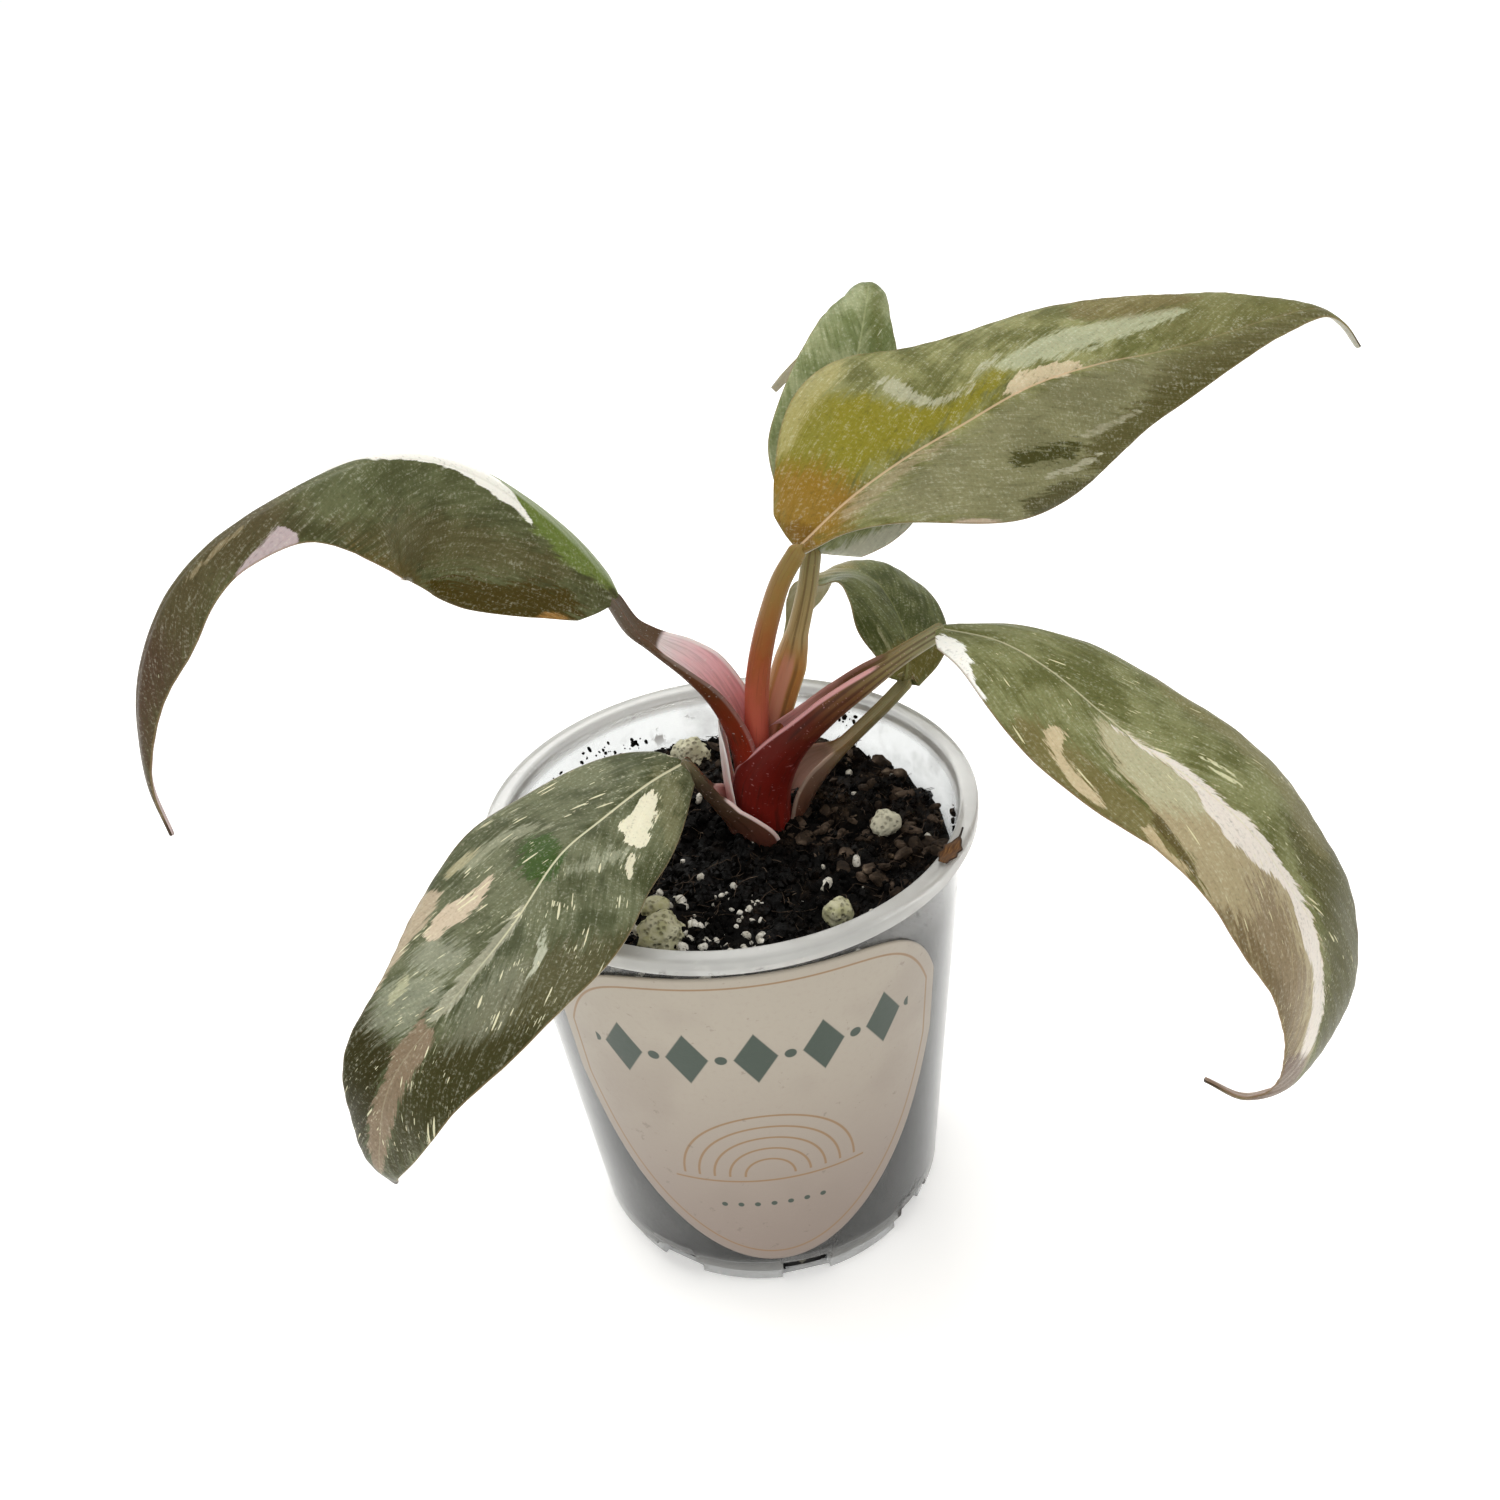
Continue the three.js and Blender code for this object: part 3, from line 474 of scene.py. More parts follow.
def damp_peat():
    """Nearly black peat: browner crumbs, a wet sheen in places, and pale specks against the wall."""
    finish = Finish("damp_peat")
    place = finish.place()
    crumbs = finish.cells(place, 900)
    cloud = finish.grain(place, 260, 5, 0.7)
    fine = finish.grain(place, 1500, 3, 0.7)
    x, y, z = (finish.axis(place, name) for name in "XYZ")
    # The peat is a little lighter towards the back right.
    lighter_back_right = (x * 0.8 + y * 0.6).rise(-6 * MM, 14 * MM)
    tone = finish.ramp(cloud * 0.7 + fine * 0.3 + lighter_back_right * 0.09 - 0.04, [
        (0.36, "#020201"), (0.52, "#070504"), (0.62, "#1a120b"), (0.7, "#4a3c2d"), (0.76, "#7c705e")])
    radius = ((x ** 2) + (y ** 2)) ** 0.5
    beside_wall = (radius - z * 0.104).rise(20.6 * MM, 21.4 * MM) * (1 - z.rise(52 * MM, 54 * MM))
    specks = finish.grain(place, 330, 3, 0.6).rise(0.64, 0.68) * beside_wall
    tone = finish.mix(specks * 0.8, tone, tint("#8f8b7c"))
    wet = finish.grain(place, 90, 2).rise(0.42, 0.58)
    roughness = 0.85 - wet * 0.4
    bump = finish.bump(crumbs * 0.6 + cloud, 0.6 * MM, 0.9)
    return finish.shade(Base_Color=tone, Roughness=roughness, Specular_IOR_Level=0.1, Normal=bump)


peat = damp_peat()
mix = add_object("potting_mix", *mix_body(), peat)
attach(mix, "root")
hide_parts("soil")


class Recipe:
    """A geometry tree that is built step by step, with named inputs."""

    def __init__(self, name, **inputs):
        self.tree = bpy.data.node_groups.new(name, "GeometryNodeTree")
        self.tree.is_modifier = True
        self.tree.interface.new_socket("Geometry", in_out="INPUT", socket_type="NodeSocketGeometry")
        for key, kind in inputs.items():
            self.tree.interface.new_socket(key, in_out="INPUT", socket_type="NodeSocket" + kind)
        self.tree.interface.new_socket("Geometry", in_out="OUTPUT", socket_type="NodeSocketGeometry")
        self.given = self.tree.nodes.new("NodeGroupInput").outputs

    def scattered(self):
        """Random points on the bed that the tree is given."""
        return self.step("GeometryNodeDistributePointsOnFaces", None, {
            "Mesh": self.given["Geometry"], "Density": self.given["Density"], "Seed": self.given["Seed"]})

    def step(self, kind, settings=None, sockets=None, out=0):
        """Adds a node and returns one of its outputs."""
        made = self.tree.nodes.new(kind)
        for key, value in (settings or {}).items():
            setattr(made, key, value)
        for key, value in (sockets or {}).items():
            if isinstance(value, bpy.types.NodeSocket):
                self.tree.links.new(value, made.inputs[key])
            else:
                made.inputs[key].default_value = value
        return made.outputs[out]

    def chance(self, low, high, salt):
        """A random number for each point."""
        seed = self.step("ShaderNodeMath", {"operation": "ADD"}, {0: self.given["Seed"], 1: salt})
        sockets = {2: low, 3: high, "Seed": seed}
        return self.step("FunctionNodeRandomValue", {"data_type": "FLOAT"}, sockets, out=1)

    def vector(self, x, y, z):
        return self.step("ShaderNodeCombineXYZ", None, {"X": x, "Y": y, "Z": z})

    def spread(self, geometry, scale, distance):
        """Moves every point by noise, so that no two copies are alike."""
        place = self.step("GeometryNodeInputPosition")
        sockets = {"Vector": place, "Scale": scale, "Detail": 1.0}
        cloud = self.step("ShaderNodeTexNoise", None, sockets, out=1)
        grey = (0.5, 0.5, 0.5)
        centred = self.step("ShaderNodeVectorMath", {"operation": "SUBTRACT"}, {0: cloud, 1: grey})
        push = self.step("ShaderNodeVectorMath", {"operation": "SCALE"}, {0: centred, "Scale": distance})
        return self.step("GeometryNodeSetPosition", None, {"Geometry": geometry, "Offset": push})

    def close(self, geometry):
        """Ends the tree: the result gets its material and leaves."""
        sockets = {"Geometry": geometry, "Material": self.given["Material"]}
        done = self.step("GeometryNodeSetMaterial", None, sockets)
        self.tree.links.new(done, self.tree.nodes.new("NodeGroupOutput").inputs[0])
        return self.tree


def strewn_lumps():
    """Rough lumps of many sizes, mostly small, scattered over a bed and half sunk in it."""
    recipe = Recipe("strewn_lumps", Density="Float", Seed="Int", Smallest="Float", Largest="Float",
                    Flatness="Float", Tilt="Float", Ruggedness="Float", Facets="Int", Material="Material")
    given = recipe.given
    points = recipe.scattered()
    share = recipe.step("ShaderNodeMath", {"operation": "POWER"}, {0: recipe.chance(0.0, 1.0, 1), 1: 2.2})
    size = recipe.step("ShaderNodeMapRange", None, {
        "Value": share, "To Min": given["Smallest"], "To Max": given["Largest"]})
    proportions = recipe.vector(recipe.chance(0.8, 1.4, 2), recipe.chance(0.6, 1.0, 3), given["Flatness"])
    scale = recipe.step("ShaderNodeVectorMath", {"operation": "SCALE"}, {0: proportions, "Scale": size})
    lean = [recipe.step("ShaderNodeMath", {"operation": "MULTIPLY"}, {
        0: recipe.chance(-1.0, 1.0, salt), 1: given["Tilt"]}) for salt in (4, 5)]
    turn = recipe.vector(*lean, recipe.chance(0.0, 2 * math.pi, 6))
    lump = recipe.step("GeometryNodeMeshIcoSphere", None, {
        "Radius": 1.0, "Subdivisions": given["Facets"]})
    placed = recipe.step("GeometryNodeInstanceOnPoints", None, {
        "Points": points, "Instance": lump, "Rotation": turn, "Scale": scale})
    real = recipe.step("GeometryNodeRealizeInstances", None, {"Geometry": placed})
    return recipe.close(recipe.spread(real, 1.4 / MM, given["Ruggedness"]))


def strewn_fibres():
    """Short bent fibres that lie over a bed."""
    recipe = Recipe("strewn_fibres", Density="Float", Seed="Int", Shortest="Float", Longest="Float",
                    Radius="Float", Waver="Float", Material="Material")
    given = recipe.given
    points = recipe.scattered()
    share = recipe.chance(0.0, 1.0, 1)
    length = recipe.step("ShaderNodeMapRange", None, {
        "Value": share, "To Min": given["Shortest"], "To Max": given["Longest"]})
    line = recipe.step("GeometryNodeCurvePrimitiveLine", None, {
        "Start": (-0.5, 0, 0), "End": (0.5, 0, 0.1)})
    strand = recipe.step("GeometryNodeResampleCurve", None, {"Curve": line, "Count": 7})
    turn = recipe.vector(0.0, recipe.chance(-0.4, 0.1, 2), recipe.chance(0.0, 2 * math.pi, 3))
    placed = recipe.step("GeometryNodeInstanceOnPoints", None, {
        "Points": points, "Instance": strand, "Rotation": turn,
        "Scale": recipe.vector(length, length, length)})
    real = recipe.step("GeometryNodeRealizeInstances", None, {"Geometry": placed})
    bent = recipe.spread(real, 0.35 / MM, given["Waver"])
    section = recipe.step("GeometryNodeCurvePrimitiveCircle", None, {
        "Resolution": 3, "Radius": given["Radius"]})
    return recipe.close(recipe.step("GeometryNodeCurveToMesh", None, {
        "Curve": bent, "Profile Curve": section, "Fill Caps": True}))


def strewn(name, bed, tree, smooth, **values):
    """Runs a scattering tree on a bed mesh and keeps its result as a plain piece of the mix."""
    piece = bpy.data.objects.new(name, bed)
    scene.collection.objects.link(piece)
    modifier = piece.modifiers.new(name, "NODES")
    modifier.node_group = tree
    for item in tree.interface.items_tree:
        if item.in_out == "INPUT" and item.name in values:
            modifier[item.identifier] = values[item.name]
    settle(piece)
    if smooth:
        piece.data.shade_smooth()
    else:
        piece.data.shade_flat()
    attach(piece, "root")


def top_of_mix(name, wanted):
    """The mix's upper faces whose middle is wanted, as a bed for what lies on it."""
    faces = [tuple(face.vertices) for face in mix.data.polygons
             if face.center.z > SOIL_LEVEL - 2 * MM and wanted(face.center.x / MM, face.center.y / MM)]
    bed = bpy.data.meshes.new(name)
    bed.from_pydata([tuple(point.co) for point in mix.data.vertices], [], faces)
    return bed


def wall_patches(spots):
    """Small patches of the cup's inner wall as a bed for what clings to it."""
    points = []
    faces = []
    for azimuth, height, width, depth in spots:
        for side, rise in ((-1, -1), (1, -1), (1, 1), (-1, 1)):
            z = (height + rise * depth / 2) * MM
            radius = wall_radius(z) - WALL_THICKNESS - 0.15 * MM
            turn = math.radians(azimuth) + side * width / 2 * MM / radius
            points.append((radius * math.cos(turn), radius * math.sin(turn), z))
        faces.append(tuple(range(len(points) - 4, len(points))))
    bed = bpy.data.meshes.new("wall_patches")
    bed.from_pydata(points, [], faces)
    return bed


def mineral(name, dark, light, grain_size):
    """Dull white mineral with clouds and pores of the size of its grains, with painted shade in the pores.
    """
    finish = Finish(name)
    place = finish.place()
    cloud = finish.grain(place, 0.25 / grain_size, 3, 0.6)
    pit_and_shade = 1 - finish.cells(place, 1 / grain_size).rise(0.15, 0.45)
    colour = finish.mix(cloud.rise(0.35, 0.65), tint(dark), tint(light))
    # Painted shade: the pores are darkened in colour where shade would fall in them.
    colour = finish.mix(pit_and_shade * 0.35, colour, tint("#4a4436"))
    bump = finish.bump(cloud - pit_and_shade * 0.6, grain_size * 0.5, 0.8)
    return finish.shade(Base_Color=colour, Roughness=0.85, Specular_IOR_Level=0.25, Normal=bump)


def bark_brown():
    finish = Finish("bark_brown")
    place = finish.place()
    cloud = finish.grain(place, 420, 4, 0.65)
    tone = finish.ramp(cloud, [(0.3, "#1a120c"), (0.48, "#33271b"), (0.6, "#54463a"), (0.72, "#7a6c5a")])
    return finish.shade(Base_Color=tone, Roughness=0.8, Specular_IOR_Level=0.25,
                        Normal=finish.bump(cloud, 0.3 * MM, 0.8))


def clear_of_wall(x, y):
    return math.hypot(x, y) < OPEN_RADIUS


lumps = strewn_lumps()
fibres = strewn_fibres()
open_ground = top_of_mix("open_ground", clear_of_wall)
right_side = top_of_mix("right_side", lambda x, y: clear_of_wall(x, y) and x > 8 - 0.5 * y)
left_front = top_of_mix("left_front", lambda x, y: clear_of_wall(x, y) and y < -7 and x < 3)
white_bits = mineral("perlite_white", "#bdb9ac", "#e9e6dc", 0.35 * MM)
bark = bark_brown()
strewn("peat_crumbs", open_ground, lumps, False, Density=1.1e6, Seed=SEED, Smallest=0.18 * MM,
       Largest=0.9 * MM, Flatness=0.8, Tilt=3.0, Ruggedness=0.9 * MM, Facets=1, Material=peat)
strewn("bark_chips", right_side, lumps, False, Density=3.2e5, Seed=SEED + 11, Smallest=0.2 * MM,
       Largest=1.5 * MM, Flatness=0.45, Tilt=0.8, Ruggedness=0.8 * MM, Facets=2, Material=bark)
strewn("perlite", open_ground, lumps, True, Density=2.0e4, Seed=SEED + 23, Smallest=0.2 * MM,
       Largest=0.95 * MM, Flatness=0.8, Tilt=3.0, Ruggedness=0.4 * MM, Facets=2, Material=white_bits)
strewn("perlite_front", left_front, lumps, True, Density=4.0e5, Seed=SEED + 31, Smallest=0.2 * MM,
       Largest=0.9 * MM, Flatness=0.8, Tilt=3.0, Ruggedness=0.4 * MM, Facets=2, Material=white_bits)
strewn("coir_fibres", open_ground, fibres, True, Density=1.6e5, Seed=SEED + 47, Shortest=1.2 * MM,
       Longest=5 * MM, Radius=0.05 * MM, Waver=3 * MM, Material=bark)

# Clumps of peat that cling to the wall: azimuth in degrees, then height, width and depth in mm.
WALL_SPOTS = [
    (143, 57.6, 5, 1.6), (133, 58.2, 2.5, 1.4), (166, 57.4, 1.2, 1), (52, 58.6, 3, 2.4), (60, 57, 2, 1.6),
    (-4, 57.2, 2.4, 3), (-12, 56.4, 4, 3), (-20, 56, 2, 2), (150, 56.4, 9, 2), (118, 56.6, 5, 2),
    (128, 57.6, 4, 1.8), (-30, 55.2, 2.6, 3), (-37, 53.6, 2, 2.4), (-26, 57, 2.4, 1.8), (-44, 56, 1.6, 1.4),
]
strewn("peat_on_wall", wall_patches(WALL_SPOTS), lumps, False, Density=1.6e6, Seed=SEED + 59,
       Smallest=0.12 * MM, Largest=0.5 * MM, Flatness=0.7, Tilt=3.0, Ruggedness=0.3 * MM, Facets=1,
       Material=peat)

# Lumps of pumice that lie in the mix: x, y and radius in mm, then how yellowish it is, from 0 to 1.
PUMICE = [(-9.7, -15.7, 2.9, 1), (-10.2, -10.7, 1.7, 1), (-4.8, 22.6, 2.6, 0.6), (11.7, -15.4, 1.8, 1),
          (19.4, 0.5, 1.9, 0.2)]


def pumice_lumps():
    """Points, faces and tone of the pumice: rough round stones, sunk to their middle."""
    form = bmesh.new()
    bmesh.ops.create_icosphere(form, subdivisions=4, radius=1)
    ball = [vertex.co.copy() for vertex in form.verts]
    corners = [tuple(vertex.index for vertex in face.verts) for face in form.faces]
    form.free()
    points = []
    faces = []
    tones = []
    for x, y, radius, tone in PUMICE:
        base = len(points)
        middle = Vector((x * MM, y * MM, soil_height(x * MM, y * MM) + 0.25 * radius * MM))
        for direction in ball:
            spot = direction * radius + Vector((x, y, 0))
            swell = 1 + 0.3 * noise.noise(spot * 0.55) + 0.12 * noise.noise(spot * 1.7)
            pore = 0.1 * max(0, 0.5 - noise.voronoi(spot * 1.6)[0][0])
            points.append(middle + direction * (radius * (swell - pore) * MM))
        faces += [tuple(base + i for i in corner) for corner in corners]
        tones += [tone] * len(ball)
    return points, faces, tones


def pumice_stone():
    finish = Finish("pumice_stone")
    place = finish.place()
    cloud = finish.grain(place, 700, 3, 0.6)
    pit_and_shade = 1 - finish.cells(place, 1500).rise(0.1, 0.5)
    stone = finish.mix(finish.attribute("tone"), tint("#d2cfbc"), tint("#b3b188"))
    colour = finish.mix(cloud.rise(0.35, 0.65) * 0.5, stone, tint("#d9d6c0"))
    # Painted shade: the pores are darkened in colour as well as sunk by the bump.
    colour = finish.mix(pit_and_shade * 0.5, colour, tint("#4b4632"))
    return finish.shade(Base_Color=colour, Roughness=0.85, Specular_IOR_Level=0.25,
                        Normal=finish.bump(cloud - pit_and_shade, 0.25 * MM, 0.9))


points, faces, tones = pumice_lumps()
pumice = add_object("pumice", points, faces, pumice_stone(), {"tone": tones})
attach(pumice, "root")


# Rootstock. A short woody stem with its main roots, brown and corky. It is buried in the mix, where
# it holds the stalks.
def corky_root():
    finish = Finish("corky_root")
    place = finish.place()
    stretched = finish.node("ShaderNodeMapping", None, {"Vector": place, "Scale": (1, 1, 0.3)})
    fibres = finish.grain(stretched, 1400, 4, 0.6)
    tone = finish.ramp(fibres, [(0.3, "#3b2818"), (0.55, "#6d4c31"), (0.75, "#a07a55")])
    return finish.shade(Base_Color=tone, Roughness=fibres * 0.3 + 0.6,
                        Normal=finish.bump(fibres, 0.3 * MM, 0.8))


root_node = bpy.data.objects["rootstock"]
root_node.data.materials.clear()
root_node.data.materials.append(corky_root())


# Leaf stalks. Each is a fleshy rod, grooved above, whose foot opens to a sheath that wraps the next
# younger stalk. The skin is waxy, brown or red outside and pink inside the sheath, with a thin pale edge.
ROD_RADIUS = 1.2
ARC_STEPS = 24
STALK_RINGS = 110
END_RINGS = 5
EDGE_THINNING = 0.6
GROOVE_DEPTH = 0.18
FLAT_SHARE = 0.94
FLAT_RISE = 0.12
EDGE_ROUNDING = 0.45

# The line of the back runs from the crown to the blade, in mm, and the back's azimuth is in degrees. A
# section is a share of the length, arc radius, half angle in degrees, wall, and 0 for an open sheath to 1
# for a rod. The skin and the inside are colours at shares of the length. A groove is a dark line on the
# skin and a band a broader one: its angle from the back in radians, then its reach as shares of the
# length. The pale pair is how far the edge's own colour shows at negative and at positive angles.
STALKS = {
    "top": {
        "slot": "stalk_amber",
        "back": -60,
        "line": [
            (3.6, 5.8, 53.8), (4.2, 5.7, 62), (4.8, 5.5, 70), (5.4, 4.7, 76), (6.4, 3.5, 81.6),
            (7.7, 2, 86.9), (9.3, 0.5, 92), (11.3, -0.8, 96),
        ],
        "sections": [
            (0, 1.3, 115, 1, 1), (0.3, 1.55, 110, 0.9, 1), (0.6, 1.45, 120, 0.9, 1),
            (1, 1.15, 125, 0.8, 1),
        ],
        "skin": [
            (0.2, "#c05a4f"), (0.42, "#b35a45"), (0.62, "#96532d"), (0.8, "#8c6636"), (1, "#7f6c38"),
        ],
        "inside": [(0, "#b08a4e"), (1, "#b08a4e")], "edge": "#b07d45", "line_tone": "#74432a",
        "pale": (0.8, 0.8),
    },
    "back": {
        "slot": "stalk_olive",
        "back": 215,
        "line": [
            (5.7, 8.1, 53.8), (6, 8, 62), (6.6, 8.2, 68), (7.6, 8.4, 72), (9, 8.5, 76), (10.9, 8.3, 81),
            (12.5, 8.1, 86.5), (13.4, 7.9, 91),
        ],
        "sections": [
            (0, 1.2, 100, 0.9, 1), (0.3, 1.5, 105, 0.8, 0.5), (0.42, 2.1, 100, 0.7, 0),
            (0.58, 2.3, 98, 0.7, 0), (0.66, 1.9, 104, 0.7, 0.2), (0.73, 1.4, 118, 0.8, 1),
            (1, 1.2, 125, 0.8, 1),
        ],
        "skin": [
            (0.2, "#b0605a"), (0.45, "#a8703f"), (0.6, "#a8753a"), (0.72, "#a58f5e"), (1, "#7f764a"),
        ],
        "inside": [(0.3, "#c9a08c"), (0.6, "#b1883f")], "edge": "#c4a262", "line_tone": "#5f4a2a",
        "pale": (0.5, 0.8), "band": ("#c48a76", 0.5, 0.28, 0.64),
        "grooves": [(1.05, 0.3, 0.64), (0.55, 0.66, 1.1), (1.25, 0.66, 1.1)],
    },
    "left": {
        "slot": "stalk_red",
        "back": 166,
        "line": [
            (2.6, 6.6, 53.8), (2.5, 6.6, 57.6), (2.4, 6.6, 61.5), (2.3, 6.6, 65.2), (1.5, 6.5, 70),
            (-0.5, 6.2, 75.1), (-3.1, 5.8, 79.1), (-7, 5.4, 83.3), (-8.9, 5.2, 85.4), (-10.5, 5, 89.2),
        ],
        "sections": [
            (0, 2.6, 120, 0.7, 0), (0.25, 2.8, 110, 0.7, 0), (0.45, 3, 102, 0.7, 0),
            (0.6, 3, 98, 0.7, 0), (0.7, 2.6, 90, 0.7, 0), (0.77, 2, 92, 0.7, 0.2),
            (0.82, 1.5, 112, 0.8, 0.9), (0.87, 1.3, 120, 0.8, 1), (1, 1.1, 125, 0.8, 1),
        ],
        "skin": [
            (0.15, "#8f1f14"), (0.4, "#7a2812"), (0.6, "#5a2f17"), (0.78, "#59432f"), (1, "#5f5447"),
        ],
        "inside": [(0.3, "#efb2b2"), (0.6, "#edc4c9"), (0.8, "#ece4e4")], "edge": "#efe8e6",
        "line_tone": "#3c2018", "pale": (0.9, 0.1),
    },
    "right": {
        "slot": "stalk_maroon",
        "back": -20,
        "line": [
            (6.5, 5.2, 53.8), (6.8, 5, 59.5), (9.1, 3.8, 66), (13.5, 2, 71.9), (18.2, 0.4, 76.7),
            (22.4, -0.9, 80.8), (26.6, -1.9, 84),
        ],
        "sections": [
            (0, 3.6, 150, 0.7, 0), (0.2, 3.9, 150, 0.7, 0), (0.3, 3.4, 135, 0.7, 0),
            (0.42, 2.7, 128, 0.7, 0), (0.58, 2.3, 122, 0.8, 0), (0.7, 2.1, 114, 0.8, 0),
            (0.78, 1.8, 110, 0.9, 0.3), (0.84, 1.5, 116, 0.9, 0.9), (1, 1.25, 120, 0.8, 1),
        ],
        "skin": [
            (0.1, "#7d2018"), (0.3, "#64150e"), (0.45, "#571d12"), (0.62, "#674328"), (0.8, "#7c6c42"),
            (1, "#878560"),
        ],
        "inside": [(0.3, "#e3b2b2"), (0.5, "#c79a8e"), (0.66, "#7b5840"), (0.8, "#6d5a38")],
        "edge": "#dba3a4", "line_tone": "#3a1812", "pale": (0.85, 0.2),
        "grooves": [(-1.75, 0.42, 1.1), (-1.3, 0.5, 1.1), (-0.8, 0.5, 0.9)],
    },
    "middle": {
        "slot": "stalk_brown",
        "back": 20,
        "line": [
            (8.2, 8.2, 53.8), (9.9, 9, 56.8), (12.3, 10.2, 59.2), (15, 11.4, 61), (18, 12.5, 63),
            (21.5, 13.5, 65.6), (24.2, 13.9, 68.1),
        ],
        "sections": [
            (0, 3.4, 84, 0.7, 0), (0.16, 3.7, 94, 0.7, 0), (0.3, 3.3, 92, 0.7, 0),
            (0.38, 2.4, 96, 0.7, 0.1), (0.46, 1.4, 112, 0.8, 0.8), (0.53, 1.05, 120, 0.8, 1),
            (1, 0.95, 125, 0.8, 1),
        ],
        "skin": [
            (0.05, "#5a382a"), (0.3, "#6f5646"), (0.45, "#735d3c"), (0.7, "#756a44"), (1, "#7f7a52"),
        ],
        "inside": [(0, "#b58c80"), (0.4, "#8a7160")], "edge": "#b39f90", "line_tone": "#3f2c1c",
        "pale": (0.5, 0.35),
    },
    "front": {
        "slot": "stalk_brown",
        "back": 200,
        "line": [(1, 3.9, 53.8), (0.6, 3.2, 56.7), (-1, 2.2, 60.6), (-2.7, 1, 64.5), (-4.3, 0.1, 68.1)],
        "sections": [
            (0, 4.8, 94, 0.6, 0), (0.14, 4.8, 88, 0.6, 0), (0.28, 4.3, 80, 0.6, 0),
            (0.42, 3.3, 78, 0.6, 0), (0.54, 2, 96, 0.7, 0.2), (0.64, 1.35, 115, 0.8, 1),
            (1, 1.15, 125, 0.8, 1),
        ],
        "skin": [(0.05, "#6b3a30"), (0.3, "#5a3a2c"), (0.5, "#4f3a2a"), (0.8, "#4f4031"), (1, "#665f45")],
        "inside": [(0, "#c98a84"), (0.5, "#e0bdb8")], "edge": "#ecd2cd", "line_tone": "#2c1c14",
        "pale": (0.9, 0.9),
    },
    "front_wing": {
        "slot": "stalk_brown",
        "back": 178,
        "line": [(1.2, 5.6, 55), (1, 5.6, 58), (0.8, 5.6, 62), (0.8, 5.7, 66), (1, 5.8, 70.5)],
        "sections": [
            (0, 4.2, 44, 0.4, 0), (0.5, 4.2, 40, 0.4, 0), (0.85, 4, 30, 0.35, 0), (1, 3.8, 8, 0.3, 0),
        ],
        "skin": [(0, "#cf9f9b"), (0.45, "#dbbcb8"), (1, "#dedad7")],
        "inside": [(0, "#e2c4c0"), (1, "#e2d6d2")], "edge": "#efe6e2", "line_tone": "#c8a29c",
        "pale": (0.9, 0.9),
    },
}


def route(knots, shares):
    """Places and directions at shares of the length of a smooth curve through knots, and its length."""
    knots = np.asarray(knots, float)
    ends = np.vstack([2 * knots[0] - knots[1], knots, 2 * knots[-1] - knots[-2]])
    steps = np.linspace(0, 1, 60, endpoint=False)[:, None]
    spans = []
    for a, b, c, d in zip(ends, ends[1:], ends[2:], ends[3:]):
        before, middle, after = (math.sqrt(np.linalg.norm(q - p)) for p, q in ((a, b), (b, c), (c, d)))
        leave = ((b - a) / before - (c - a) / (before + middle) + (c - b) / middle) * middle
        arrive = ((c - b) / middle - (d - b) / (middle + after) + (d - c) / after) * middle
        bend = 3 * (c - b) - 2 * leave - arrive
        spans.append(b + steps * leave + steps ** 2 * bend + steps ** 3 * (leave + arrive - 2 * (c - b)))
    line = np.vstack([*spans, knots[-1:]])
    run = np.concatenate([[0], np.cumsum(np.linalg.norm(np.diff(line, axis=0), axis=1))])
    even = np.linspace(0, run[-1], 1001)
    line = np.stack([np.interp(even, run, line[:, k]) for k in range(3)], axis=1)
    slopes = np.gradient(line, axis=0)
    at = np.asarray(shares) * run[-1]
    places = np.stack([np.interp(at, even, line[:, k]) for k in range(3)], axis=1)
    directions = np.stack([np.interp(at, even, slopes[:, k]) for k in range(3)], axis=1)
    return places, directions / np.linalg.norm(directions, axis=1)[:, None], run[-1]


def smooth_value(stations, values, t):
    """Smooth values at t through values at rising stations, without overshoot."""
    stations = np.asarray(stations, float)
    values = np.asarray(values, float)
    span = np.diff(stations)
    rise = np.diff(values) / span
    before, after = rise[:-1], rise[1:]
    limit = 3 * np.minimum(np.abs(before), np.abs(after))
    inner = np.sign(before) * np.minimum(np.abs(before + after) / 2, limit)
    slope = np.concatenate([rise[:1], np.where(before * after <= 0, 0, inner), rise[-1:]])
    k = np.clip(np.searchsorted(stations, t) - 1, 0, len(span) - 1)
    f = (t - stations[k]) / span[k]
    start = (2 * f - 3) * f * f + 1
    curved = ((f - 2) * f + 1) * f * span[k] * slope[k] + (f - 1) * f * f * span[k] * slope[k + 1]
    return start * values[k] + (1 - start) * values[k + 1] + curved


def square_to(vectors, directions):
    """Unit vectors square to directions, nearest to the given ones."""
    flat = vectors - directions * np.sum(vectors * directions, axis=1)[:, None]
    return flat / np.linalg.norm(flat, axis=1)[:, None]


